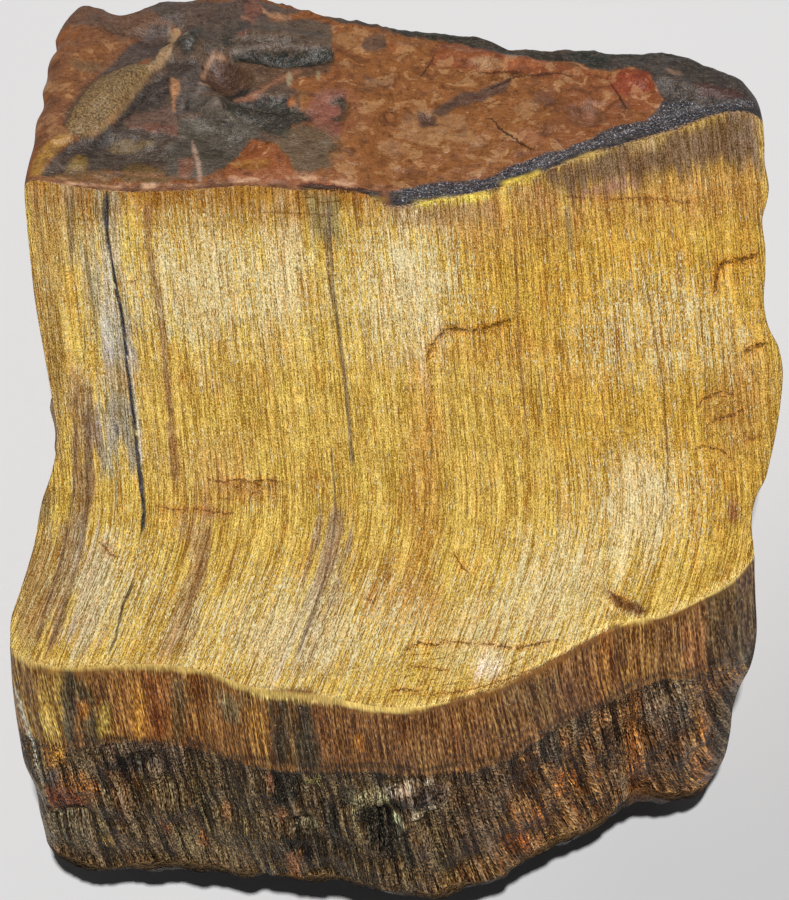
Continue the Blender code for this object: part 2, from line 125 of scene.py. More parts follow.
# The underside: the sole's sides, and its front and back edges as y at each x.
SOLE_LEFT, SOLE_RIGHT = -28.0, 29.0
SOLE_FRONT = (
    (-30.0, -22.0), (-25.0, -29.0), (-15.0, -33.0), (-4.0, -31.0), (10.0, -34.0), (23.0, -28.0),
    (30.0, -19.0),
)
SOLE_BACK = (
    (-30.0, 25.0), (-25.0, 33.0), (-14.0, 38.0), (0.0, 35.0), (14.0, 33.0), (24.0, 28.0),
    (30.0, 20.0),
)
SOLE_WOBBLE = 1.1  # of its outline
UNDERCUT_SWELL, BACK_SWELL = 2.6, 3.2
CLEARANCE = 0.5  # of everything else above the ground

# The ends: how far out each one lies at the ground and above the height where it turns upright.
END_FOOT, END_FLAT, END_TURN = (-28.5, 29.5), (-34.4, 35.4), 7.0
END_BEVEL = 0.4  # the share of an end that turns from its rim into its flat
END_LINE = ((-22.0, 14.0), (27.0, 19.0))  # y, z of the line that the rings shrink to

# Lumps and hollows of the front: middle, half length, half width, turn in degrees and height.
CAP_LUMPS = (
    ((-21.2, 42.0), 3.0, 2.0, 20.0, 1.6),  # the dark knob
    ((-17.8, 38.6), 4.2, 2.8, -35.0, -2.0),  # the hollow beside it
    ((-18.2, 34.6), 2.4, 1.8, 0.0, 1.1),  # the smooth dome below the hollow
    ((-28.6, 37.0), 8.5, 2.8, 44.0, 1.1),  # the grainy ochre leaf
    ((-24.0, 43.6), 6.0, 2.2, 15.0, -1.0),
    ((-31.6, 42.6), 4.0, 3.0, 60.0, 0.8),
    ((-11.6, 40.4), 7.5, 1.3, -4.0, -1.3),  # the dark groove behind the middle
    ((-11.2, 42.6), 7.0, 1.6, -6.0, 0.9),  # and the ribs above it
    ((-17.0, 31.4), 8.0, 3.4, -24.0, -1.1),
    ((-27.5, 30.4), 6.5, 2.2, -10.0, -0.8),
    ((-6.1, 35.0), 1.9, 1.7, 0.0, -0.6),  # ringed spots
    ((3.6, 33.9), 1.3, 1.2, 0.0, -0.5),
    ((20.0, 34.2), 2.4, 1.8, 10.0, -0.6),
    ((9.0, 40.6), 9.0, 1.6, -10.0, 0.7),
    ((28.0, 37.4), 7.0, 1.6, -14.0, 0.8),
)
FACE_LUMPS = (
    ((37.6, 8.5), 3.2, 2.4, 0.0, 1.0),  # the knuckle on the right edge
    ((36.6, -9.6), 1.6, 4.4, 0.0, -1.1),
    ((24.2, -15.4), 2.4, 1.1, -30.0, 0.6),
    ((22.0, -15.8), 2.6, 0.9, -38.0, -0.9),  # the gouge above the crease
    ((-14.0, -4.2), 4.2, 1.3, 6.0, -0.7),  # shallow scallops in the bend
    ((-20.6, -5.6), 3.4, 1.0, -6.0, -0.5),
    ((-27.6, -10.0), 2.6, 1.4, 10.0, -0.4),
    ((10.5, -20.0), 8.0, 1.8, 4.0, 0.5),  # the raised flakes above the crease
    ((29.0, -8.0), 3.0, 6.0, -20.0, 0.4),
)
BAND_LUMPS = (
    ((-33.6, -38.0), 3.4, 2.6, 30.0, -1.0),
    ((2.6, -35.6), 4.2, 1.6, 8.0, 1.1),
    ((-9.6, -39.0), 3.0, 1.8, -10.0, -1.4),  # glassy chips
    ((-1.2, -38.6), 3.2, 2.4, 20.0, -1.3),
    ((-24.0, -37.0), 5.0, 2.2, 12.0, 0.8),
    ((14.0, -37.5), 4.5, 2.4, 30.0, 0.8),
    ((24.0, -30.0), 4.0, 2.4, 30.0, -0.9),
    ((33.4, -27.0), 2.4, 4.2, 0.0, -0.8),
)
# Scars where a flake left the face: the upper edge as v at each x, the depth, and the length it fades over.
SCARS = (
    (((3.0, 9.0), (4.6, 11.4), (5.4, 12.2), (9.6, 12.2), (12.4, 13.2)), 0.7, 12.0),
    (((32.0, 18.6), (32.8, 19.0), (35.0, 19.3), (37.4, 20.4)), 0.8, 9.0),
    (((34.4, 9.2), (36.0, 10.1), (38.2, 10.9)), 0.6, 6.0),
    (((0.6, -20.6), (2.4, -19.4), (5.0, -19.3), (12.0, -20.0), (17.0, -19.1)), 0.5, 3.0),
)
SCAR_SIDE = 0.8  # how fast a scar runs out at its ends

# Roughness in millimetres where each span of a section starts.
ROUGHNESS = {"cap": 0.7, "bevel": 0.25, "face": 0.12, "band": 0.25, "undercut": 0.9, "sole": 0.0, "back": 0.0}
BACK_ROUGHNESS, END_ROUGHNESS = 1.9, 1.6
STRAND_RISE, STRAND_WIDTH, STRAND_LENGTH = 0.28, 4.5, 40.0  # bundles of fibres on the face and band
COARSE, MEDIUM, FINE = 15.0, 6.5, 3.0  # sizes of the lumps
CREASE_CALM = 1.0  # fine relief dies away this close to the crease

# The mesh: columns along the stone, rows in each span of a section, rings on each end.
COLUMNS = 326
SPANS = {"cap": 80, "bevel": 4, "face": 96, "band": 62, "undercut": 9, "sole": 14, "back": 14}
END_RINGS, END_KNOTS = 10, 40

# The line where the band's smooth upper part ends: v at each x.
BAND_INNER = (
    (-37.0, -29.2), (-33.4, -29.8), (-26.2, -29.3), (-22.1, -29.7), (-17.9, -30.9), (-12.8, -31.9),
    (-6.6, -32.4), (0.6, -32.7), (4.7, -32.9), (8.8, -32.0), (13.9, -29.5), (17.0, -27.7), (20.0, -26.5),
    (23.1, -25.2), (26.2, -23.7), (31.3, -22.9), (35.5, -21.6),
)

# How far the fibres lean: millimetres to the right for each one down the face, by height, and on the band.
LEAN_TOP, LEAN_STEP = 60.0, 0.1
FACE_LEAN = ((28.0, 0.1), (-3.0, 0.1), (-13.0, -0.38), (-26.0, -0.4))
BAND_LEAN, BAND_BOW = 0.1, 0.005

# Relief too fine for the CAD solid. Noises are given as size and seed, or as width, length and seed.
CAP_RISE = 0.5  # the share of their rise that the cap's patches stand out by
CAP_GRAIN = ((0.12, 2.6, 11), (0.05, 1.1, 12))  # rise, size and seed
FLAKES, BUNDLES, THREADS = (2.2, 16.0, 21), (1.3, 22.0, 22), (0.5, 7.0, 23)
FACE_RISES, BAND_RISES = (0.10, 0.07, 0.035), (0.16, 0.09, 0.05)  # of flakes, bundles and threads
FLAKE_STEPS, LEDGE_STEPS, BACK_STEPS = 2.0, 2.5, 2.0  # how many flat levels the noise is cut into
LEVEL_SLOPE = 0.22  # the share of each level that slopes
DARK_SUNK, DARK_SOFT = 0.35, 1.2  # how deep the dark zone lies, and how softly it starts
LEDGE_RISE, LEDGES, CRUMB_RISE, CRUMBS = 0.34, (3.4, 31), 0.16, (1.1, 32)
BACK_GRAIN, BACK_LEDGES, BACK_CRUMB_SHARE, BACK_CRUMBS = 0.35, (4.0, 41), 0.4, (1.3, 42)

# Noise at the edges of patches: share, then size and seed, or width, length and seed.
ROCK_RAG = ((0.6, 1.7, 51), (0.4, 0.9, 52))
FIBRE_RAG = ((0.5, 0.8, 9.0, 53), (0.5, 0.3, 3.5, 54))

# Colours, as a display shows them.
RUST, RUST_PALE, RUST_DEEP, CAP_RIM = (148, 92, 50), (158, 102, 60), (116, 72, 46), (52, 53, 46)
BEVEL_BROWN, BEVEL_CREAM, BEVEL_GREY = (116, 74, 48), (166, 118, 76), (70, 60, 56)
BLACK_BLUE = (50, 47, 50)
# The last gold colour is painted highlight: the pale glints of the silk.
GOLD, GOLD_SPECK, GOLD_CRACK_AND_STEP_SHADE, PAINTED_GLINT = (198, 160, 58), (104, 66, 24), (112, 70, 28), (255, 240, 190)
# The last band colour is a painted highlight on the rim of the foot.
BAND_BROWN, BAND_DARK, BAND_OLIVE, FOOT_RIM_HIGHLIGHT = (124, 80, 42), (86, 64, 42), (92, 74, 50), (166, 118, 66)
# The band's chip colour is painted highlight: pale chips and sparkles on the dark rubble.
BAND_PAINTED_HIGHLIGHT, BAND_CRACK = (226, 200, 164), (40, 28, 20)
ROCK_TAN, ROCK_SEAM, ROCK_CREAM = (200, 156, 110), (190, 164, 140), (236, 206, 172)
# The needle colour is painted glitter on the blue-black edge.
ROCK_CRACK, ROCK_GLITTER_GLINT = (64, 40, 30), (190, 192, 204)
SIDE_GOLD, SIDE_BROWN, SIDE_OCHRE, SIDE_GREY = (196, 150, 66), (136, 92, 42), (206, 170, 98), (96, 86, 76)
# The last colour here is painted shade on the undercut below the foot.
CREST_GREY, UNDERCUT_SHADE = (58, 57, 52), (50, 38, 28)
# How much lighter each part is painted, because the lines and pits in its material darken it.
CAP_LIFT, FACE_LIFT = (0.84, 0.82, 0.82), (1.36, 1.44, 2.2)
BAND_LIFT, DARK_LIFT = (1.5, 1.65, 1.6), (2.5, 2.6, 2.3)
# How the materials tint the colours kept on the vertices: shares of red, green and blue light.
GOLD_SHADE, GOLD_LIGHT = (0.5, 0.34, 0.07), (1.55, 1.62, 2.2)
GOLD_ORANGE, GOLD_YELLOW = (1.0, 0.66, 0.4), (1.0, 1.1, 1.0)
# The pit tint is painted shade in the gaps of the rubble.
BAND_SHADE, BAND_LIGHT, BAND_PAINTED_PIT_SHADE = (0.32, 0.24, 0.13), (2.1, 2.5, 3.2), (0.12, 0.1, 0.09)
BAND_GOLD, BAND_RED = (1.4, 1.6, 1.4), (0.8, 0.58, 0.5)
ROCK_SHADE, ROCK_LIGHT, ROCK_DEEP = (0.42, 0.33, 0.28), (1.5, 1.6, 1.7), (0.6, 0.58, 0.6)
SIDE_SHADE, SIDE_LIGHT = (0.34, 0.26, 0.16), (1.7, 1.8, 1.9)

# Layers of noise in the materials: scales per millimetre across and along the fibres, weight and detail.
GOLD_LAYERS = (
    ((12.0, 5.5, 1.0), 4.4, 0.0), ((9.0, 0.9, 1.0), 3.4, 0.0), ((5.0, 0.14, 1.0), 3.2, 0.0),
    ((2.4, 0.05, 1.0), 2.4, 1.0), ((0.9, 0.03, 1.0), 1.8, 1.0), ((0.15, 0.35, 1.0), 1.6, 3.0),
)
# Noise that places the painted glints of the golden face.
PAINTED_GLINT_LAYERS = (((13.0, 2.6, 1.0), 4.0, 0.0), ((8.0, 0.4, 1.0), 3.6, 0.0), ((2.4, 0.1, 1.0), 2.4, 1.0))
BAND_LAYERS = (
    ((10.0, 1.8, 1.0), 4.6, 0.0), ((6.0, 0.35, 1.0), 4.6, 0.0), ((3.2, 0.12, 1.0), 3.4, 1.0),
    ((1.2, 0.05, 1.0), 2.2, 1.0),
)
RUBBLE_LAYERS = (
    ((0.5, 0.12, 1.0), 3.0, 1.0), ((1.3, 0.12, 1.0), 4.4, 1.0), ((2.4, 0.2, 1.0), 4.4, 1.0),
    ((7.0, 4.0, 1.0), 2.6, 0.0),
)
ROCK_LAYERS = (((0.9, 1.2, 1.0), 2.4, 2.0), ((2.0, 2.8, 1.0), 2.8, 1.0), ((6.0, 7.0, 1.0), 1.6, 0.0))
SIDE_LAYERS = (
    ((7.0, 0.6, 7.0), 3.4, 1.0), ((3.0, 0.16, 3.0), 3.6, 1.0), ((1.1, 0.07, 1.1), 3.0, 1.0),
    ((0.3, 0.2, 0.3), 2.0, 2.0),
)
SIDE_RUBBLE = (((0.7, 0.7, 0.7), 2.4, 2.0), ((2.0, 2.0, 2.0), 2.8, 1.0), ((5.5, 5.5, 5.5), 1.6, 0.0))
LAYER_ROUGHNESS = 0.6
PAINTED_GLINT_SHIFT, RUBBLE_SHIFT = (31.0, 17.0, 0.0), (11.0, 5.0, 0.0)

# Single noises in the materials: scales, detail, roughness and distortion.
STREAK_WIGGLE, STREAK_GAPS = ((2.0, 0.6, 1.0), 3.0, 0.6), ((6.0, 0.5, 1.0), 2.0)
GOLD_HUE, GOLD_THREADS = ((0.8, 0.22, 1.0), 3.0, 0.6), ((5.5, 0.1, 1.0), 1.0)
GOLD_SPECKS = ((6.0, 4.0, 1.0), 1.0, 0.7)
CRACK_JAG, CRACK_GAPS = ((2.4, 2.0, 1.0), 3.0, 0.7), ((1.6, 1.6, 1.0), 2.0)
ROCK_JAG = ((2.4, 2.4, 1.0), 3.0, 0.7)
BAND_RAG, BAND_HUE = ((1.2, 0.8, 1.0), 3.0, 0.6), ((1.5, 0.06, 1.0), 3.0, 0.65)
# Noise for the painted glints on the dark band.
BAND_GLINTS = ((8.0, 3.6, 1.0), 1.0, 0.6)
ROCK_BLOTCHES, ROCK_FLECKS = ((0.45, 0.7, 1.0), 2.0, 0.5, 0.5), ((1.6, 2.4, 1.0), 2.0)
ROCK_VEINS, ROCK_SEAMS = ((0.4, 0.6, 1.0), 4.0, 0.6, 0.5), ((0.7, 1.9, 1.0), 4.0, 0.65)
# The edge's needles are painted glitter.
LEAF_SAND, EDGE_NEEDLES = ((4.2, 5.4, 1.0), 2.0, 0.7), ((5.0, 6.0, 1.0), 3.0, 0.7, 0.8)
ROCK_GRAINS = (5.5, 6.5, 1.0)
SIDE_FLECKS = ((1.6, 2.0, 1.6), 2.0)

# Where each of them starts and ends to show, and with two more numbers its least and greatest share.
STREAK_SHOWS, CRACK_SHOWS = (0.2, 0.4), (0.34, 0.5)
ORANGE_AT, YELLOW_AT = (0.52, 0.66, 0.0, 0.5), (0.48, 0.34, 0.0, 0.5)
THREADS_AT, SPECKS_AT = (0.36, 0.27), (0.3, 0.22)
# Where the painted glints show, and how they fade where the tint is darker.
PAINTED_GLINT_AT, PAINTED_GLINT_BY_RED = (1.0, 1.7), (0.25, 0.65, 0.1, 0.9)
BAND_ROUGH_AT, CREASE_EDGE_AT = (0.3, 0.8), (-0.7, -0.1)
BAND_GOLD_AT, BAND_RED_AT = (0.52, 0.64, 0.0, 0.7), (0.48, 0.34, 0.0, 0.8)
# Where the band's painted pit shade, chip highlights and glints show.
PIT_SHADE_AT, CHIP_HIGHLIGHT_AT, BAND_GLINT_AT = (0.3, -0.8), (0.4, 1.5), (0.64, 0.74)
BLOTCHES_AT, FLECKS_AT = (0.57, 0.62), (0.62, 0.7)
DEEP_BLOTCHES_AT, DEEP_FLECKS_AT = (0.42, 0.39, 0.0, 0.7), (0.37, 0.33, 0.0, 0.7)
VEINS_AT, SEAMS_AT, GRAINS_AT = (0.008, 0.003, 0.0, 0.6), (0.014, 0.003), (0.16, 0.05, 0.0, 0.35)
DARK_SAND_AT, PALE_SAND_AT, NEEDLES_AT = (0.48, 0.38), (0.54, 0.66), (0.55, 0.68)
SIDE_FLECKS_AT, SIDE_RUBBLE_AT = (0.6, 0.68), (0.0, 1.0, 1.0, 0.35)
# The tone of each material: where it is neutral, fully shaded and fully lit.
GOLD_TONE, BAND_TONE = (0.1, -1.3, 1.4), (0.2, -1.2, 1.5)
ROCK_TONE, SIDE_TONE = (0.1, -1.6, 1.6), (0.2, -1.4, 1.8)
# Roughness where the tone or noise is low and high, how far noise pushes lines about, and bumps in metres.
GOLD_GLOSS, BAND_GLOSS, ROCK_GLOSS, SIDE_GLOSS = (0.5, 0.34), (0.5, 0.3), (0.56, 0.44), (0.6, 0.42)
STREAK_REACH, CRACK_REACH, ROCK_CRACK_REACH = 0.3, 0.9, 0.7
# The painted orange shade along the cracks: how far noise pushes it, how much wider than the crack, and its
# share.
SHADE_FRINGE_REACH, SHADE_FRINGE_SPREAD, SHADE_FRINGE_SHARE = 1.4, 4.0, 0.6
GOLD_BUMP, GOLD_CRACK_BUMP, BAND_BUMP, RUBBLE_BUMP = 0.00004, 0.00015, 0.00005, 0.00015
ROCK_BUMP, ROCK_CRACK_BUMP, SIDE_BUMP, SIDE_RUBBLE_BUMP = 0.00003, 0.0002, 0.00008, 0.0002

# The marks below are placed on the picture of the stone, 789 by 900 pixels, ten to the millimetre.
PICTURE_MIDDLE, PICTURE_SCALE = (394.5, 450.0), 10.0
FACE_STRETCH, BAND_STRETCH, DARK_STRETCH = 2.2, 1.8, 1.4  # patches' edges are this much softer along fibres
PIXEL_TAPER, PAINTED_SHEEN_SOFT = 12.0, 90.0  # how painted lines run out, and how softly the shine does
# Thin lines run out over this length in millimetres, to this share of their width.
TAPER, TAPER_WIDTH = 1.5, 0.4
NO_LINE = (99.0, 0.1, 0.0)  # kept by a vertex near no line: offset, half width and strength

# The map of the stone laid flat: the shares of it that the front takes.
FRONT_SHARE_U, FRONT_SHARE_V = 0.9, 0.86


def spot(x, y, across, down, turn_deg=0.0):
    """The outline of an oval with these half sizes, turned clockwise."""
    angle = np.linspace(0.0, 2 * np.pi, 16, endpoint=False)
    turn = np.radians(turn_deg)
    a, b = across * np.cos(angle), down * np.sin(angle)
    return np.stack([x + a * np.cos(turn) - b * np.sin(turn), y + a * np.sin(turn) + b * np.cos(turn)], -1)


# Patches: outline, colour, strength, softness and raggedness of the edge in pixels, and rise in millimetres.
LEAF = (
    ((68, 138), (66, 126), (72, 112), (80, 100), (92, 86), (102, 78), (120, 70), (133, 67), (148, 68),
     (158, 67), (147, 80), (133, 93), (123, 107), (113, 117), (100, 130), (86, 137)),
    (140, 116, 76), 0.98, 2.2, 1.2, 0.5,
)

# The left shoulder and its dark crest.
SHOULDER = (
    (((30, 190), (40, 120), (55, 60), (90, 20), (150, 30), (120, 60), (70, 130), (50, 170)), (132, 88, 58),
     0.8, 6, 4.8, 0.0),
    (((60, 90), (66, 60), (90, 48), (112, 44), (100, 62), (80, 82), (66, 100)), (150, 98, 56), 0.7, 6, 4.8,
     0.0),
    (((62, 60), (90, 62), (104, 66), (96, 74), (76, 70)), (112, 92, 66), 0.6, 3.6, 3.6, 0.0),
    (((60, 0), (170, 0), (185, 20), (160, 28), (120, 38), (98, 30), (76, 24), (60, 22)), (104, 80, 66), 0.8,
     4.8, 4.8, 0.0),
    (((140, 0), (260, 0), (300, 10), (262, 24), (236, 40), (212, 62), (190, 28), (160, 16)), (84, 74, 68),
     0.9, 4.8, 4.8, 0.0),
)
# Dark rock under everything between the leaf and the middle.
DARK_BED = (
    (((150, 44), (240, 22), (262, 60), (300, 96), (290, 136), (244, 150), (204, 180), (60, 176), (100, 132),
     (150, 92)), (86, 76, 66), 0.85, 6, 6, 0.0),
)
# The grey vein over the ochre leaf.
GREY_VEIN = (
    (((94, 80), (118, 56), (133, 40), (150, 24), (170, 22), (168, 40), (160, 52), (148, 62), (128, 68),
     (108, 78)), (88, 76, 71), 0.95, 3, 1.8, -0.25),
    (((96, 84), (108, 74), (130, 64), (148, 60), (130, 68), (110, 78)), (58, 50, 46), 0.8, 2.2, 1.2, -0.3),
    (((62, 128), (66, 112), (76, 98), (90, 82), (98, 78), (84, 96), (74, 112), (70, 126)), (82, 68, 58), 0.8,
     2.2, 1.2, -0.3),
)
# The dark rock below the leaf.
BELOW_LEAF = (
    (((36, 176), (56, 156), (70, 141), (100, 133), (118, 118), (130, 92), (150, 78), (166, 74), (172, 90),
     (168, 108), (176, 122), (184, 138), (162, 146), (170, 160), (140, 168), (100, 172), (60, 176)),
     (80, 69, 61), 0.95, 3, 3, -0.35),
    (((124, 112), (132, 94), (150, 80), (165, 77), (170, 88), (168, 100), (158, 108), (140, 110)),
     (66, 58, 56), 0.8, 3.6, 3.6, -0.3),
    (((118, 120), (140, 112), (160, 108), (174, 104), (178, 118), (186, 130), (180, 137), (150, 133),
     (132, 129)), (112, 86, 74), 0.9, 2.4, 2.4, 0.3),
    (((128, 128), (150, 124), (176, 126), (182, 134), (152, 133)), (130, 82, 64), 0.6, 2.4, 2.4, 0.1),
    (((104, 148), (120, 142), (150, 139), (160, 143), (140, 148), (120, 150)), (122, 100, 64), 0.8, 2.4, 3,
     0.2),
    (((60, 150), (80, 142), (100, 140), (104, 150), (96, 160), (74, 162)), (62, 54, 50), 0.8, 3, 3.6, -0.2),
    (((120, 182), (124, 168), (134, 160), (150, 164), (164, 172), (170, 184)), (112, 86, 48), 0.9, 3, 2.4,
     0.25),
    (((36, 184), (60, 172), (110, 170), (118, 184)), (120, 88, 48), 0.7, 3.6, 3.6, 0.1),
    (((66, 170), (70, 156), (78, 152), (88, 158), (86, 170)), (134, 108, 50), 0.8, 3, 3, 0.1),
)
# The ochre leaf, its tail and its foot.
OCHRE_LEAF = (
    LEAF,
    (((88, 137), (100, 129), (113, 116), (123, 105), (133, 92), (146, 79), (150, 80), (136, 95), (126, 108),
     (116, 119), (103, 132), (90, 138)), (172, 140, 96), 0.7, 2.2, 0.6, 0.2),
    (((90, 142), (103, 134), (117, 122), (127, 110), (137, 97), (150, 85), (154, 88), (141, 101), (131, 114),
     (120, 126), (106, 138), (93, 146)), (52, 46, 42), 0.85, 2.2, 1.2, -0.3),
    (((146, 72), (156, 62), (161, 50), (168, 44), (172, 26), (179, 24), (176, 42), (170, 57), (161, 69),
     (150, 76)), (182, 150, 112), 0.95, 2.2, 1.2, 0.3),
    (((167, 22), (171, 22), (171, 34), (168, 38)), (150, 132, 112), 0.8, 2.2, 0.6, 0.1),
    (((26, 182), (33, 156), (42, 143), (60, 136), (74, 136), (70, 144), (56, 152), (46, 164), (36, 178)),
     (172, 128, 58), 0.9, 2.4, 2.4, 0.2),
)
# The knob, the hollow and the dome.
KNOB_AND_DOME = (
    (spot(189, 43, 11, 16, 14), (64, 61, 56), 0.95, 2.4, 1.2, 0.7),
    # A pale spot on the knob, a painted highlight.
    (spot(187, 43, 2.5, 3.5), (150, 138, 118), 0.8, 2.2, 0.6, 0.0),
    (spot(196, 30, 7, 5), (78, 76, 70), 0.8, 2.4, 1.2, 0.2),
    (((166, 62), (176, 58), (200, 62), (196, 74), (178, 78), (166, 74)), (70, 62, 58), 0.9, 3, 2.4, -0.5),
    (((182, 78), (200, 62), (206, 82), (214, 88), (200, 96), (186, 112), (176, 118), (176, 96)), (96, 86, 81),
     0.95, 2.4, 2.4, -0.2),
    (((188, 106), (196, 92), (206, 72), (210, 76), (200, 96), (190, 108)), (138, 128, 122), 0.7, 2.4, 2.4,
     0.1),
    (((200, 70), (205, 58), (214, 50), (222, 53), (235, 65), (246, 76), (240, 88), (226, 92), (212, 86),
     (201, 81)), (92, 66, 54), 0.95, 2.4, 1.2, -0.7),
    (((200, 74), (205, 60), (213, 51), (222, 53), (230, 59), (223, 57), (214, 55), (207, 62), (204, 74)),
     (186, 146, 116), 0.8, 2.0, 0.6, 0.2),
    (((200, 80), (208, 80), (209, 84), (200, 84)), (196, 156, 118), 0.8, 2.2, 0.6, 0.2),
    (spot(206, 106, 20, 8.5, 4), (102, 95, 85), 0.95, 2.2, 0.6, 0.7),
    (spot(192, 107, 8, 5), (62, 58, 53), 0.8, 3, 1.2, 0.0),
    (spot(217, 110, 6, 5), (134, 118, 106), 0.6, 3, 1.2, 0.1),
)
# The cream sliver.
CREAM_SLIVER = (
    (((171, 79), (180, 83), (180, 92), (176, 100), (175, 114), (173, 112), (172, 100), (170, 90)),
     (200, 146, 104), 0.95, 2.0, 0.9, 0.25),
    (((176, 118), (184, 128), (186, 134), (180, 137), (184, 130)), (170, 116, 92), 0.8, 2.2, 0.9, 0.2),
)
# Black hollows in the middle.
BLACK_HOLLOWS = (
    (((224, 68), (236, 70), (254, 80), (248, 92), (260, 98), (290, 98), (286, 116), (262, 112), (238, 106),
     (222, 98), (230, 88), (246, 76)), (48, 46, 44), 0.95, 2.4, 2.4, -0.6),
    (((220, 103), (250, 105), (282, 100), (290, 110), (318, 114), (312, 124), (292, 126), (286, 138),
     (262, 130), (240, 118), (224, 112)), (56, 55, 48), 0.95, 2.4, 3, -0.4),
    (((176, 118), (200, 116), (230, 112), (250, 118), (264, 130), (242, 150), (222, 170), (200, 180),
     (168, 180), (164, 150), (180, 136)), (90, 84, 74), 0.95, 3.6, 2.4, -0.2),
    (((180, 140), (210, 126), (240, 120), (236, 136), (206, 160), (180, 172)), (78, 72, 62), 0.7, 6, 6, 0.0),
    (((192, 138), (197, 150), (201, 165), (202, 182), (198, 182), (196, 164), (192, 150)), (196, 164, 142),
     0.7, 2.2, 0.6, 0.1),
    (((178, 160), (196, 156), (194, 176), (176, 176)), (138, 84, 58), 0.7, 4.8, 4.8, 0.0),
)
# Ribs behind the middle, and pink rock over them.
RIBS = (
    (((222, 24), (250, 20), (276, 22), (310, 18), (330, 27), (334, 56), (300, 60), (256, 56), (232, 52)),
     (96, 84, 72), 0.9, 3, 2.4, 0.2),
    (((230, 32), (270, 30), (320, 32), (322, 36), (270, 35), (232, 36)), (70, 62, 52), 0.8, 2.2, 1.8, -0.3),
    (((228, 42), (262, 42), (300, 44), (300, 48), (262, 47), (230, 46)), (74, 64, 54), 0.7, 2.2, 1.8, -0.3),
    (((230, 54), (260, 50), (300, 52), (334, 49), (334, 61), (310, 65), (284, 67), (254, 63), (234, 61)),
     (44, 46, 42), 0.97, 2.2, 1.8, -0.5),
    (((236, 40), (244, 36), (250, 24), (243, 6), (256, 0), (264, 10), (256, 22), (252, 32), (244, 42)),
     (132, 84, 68), 0.85, 3, 2.4, 0.2),
    (((262, 8), (270, 13), (292, 16), (292, 22), (276, 20), (262, 14)), (192, 142, 104), 0.9, 2.2, 1.2, 0.2),
    (((242, 18), (248, 20), (250, 24), (243, 24)), (186, 130, 100), 0.8, 2.2, 1.2, 0.1),
    (spot(244, 29, 8, 6, -20), (66, 62, 58), 0.9, 2.2, 1.2, -0.3),
    (spot(229, 44, 6, 5), (58, 56, 52), 0.9, 2.2, 1.2, -0.4),
    (((238, 62), (290, 66), (332, 62), (330, 74), (290, 84), (262, 92), (240, 84)), (100, 74, 54), 0.9, 3.6,
     3, 0.0),
    (((232, 98), (252, 94), (276, 80), (300, 72), (302, 75), (278, 84), (254, 99), (234, 102)),
     (172, 118, 88), 0.8, 2.2, 1.2, 0.15),
    (spot(289, 81, 2.5, 7), (176, 160, 128), 0.8, 2.2, 0.6, 0.1),
    (spot(318, 78, 2.2, 5), (170, 150, 110), 0.8, 2.2, 0.6, 0.1),
    (((288, 100), (294, 98), (296, 106), (288, 106)), (196, 122, 70), 0.8, 2.2, 1.2, 0.1),
    (spot(302, 97, 7, 5), (150, 104, 58), 0.8, 2.2, 1.2, -0.1),
)
# Olive grey, the pink patch and its ring.
PINK_RING = (
    (((286, 132), (300, 122), (326, 125), (342, 138), (346, 150), (332, 168), (300, 176), (288, 158),
     (276, 140)), (98, 86, 66), 0.85, 4.8, 4.8, 0.0),
    (spot(337, 112, 30, 22), (146, 92, 76), 0.8, 7.2, 3.6, 0.0),
    (spot(352, 129, 22, 7, -14), (120, 62, 58), 0.7, 4.8, 3.6, 0.0),
    (spot(339, 110, 12, 12), (72, 64, 52), 0.95, 2.2, 0.9, -0.35),
    (spot(334, 110, 7.5, 7), (150, 94, 80), 0.97, 2.2, 0.9, 0.3),
    (((318, 100), (330, 104), (330, 118), (318, 118)), (146, 92, 76), 0.9, 2.2, 1.2, 0.1),
)
# The orange triangle by the edge.
ORANGE_TRIANGLE = (
    (((222, 180), (228, 164), (240, 148), (252, 135), (270, 142), (288, 158), (292, 172), (286, 182)),
     (152, 88, 48), 0.95, 2.4, 1.8, 0.3),
    (((228, 162), (250, 156), (272, 157), (262, 168), (244, 170), (230, 166)), (166, 112, 52), 0.8, 3, 1.8,
     0.1),
)
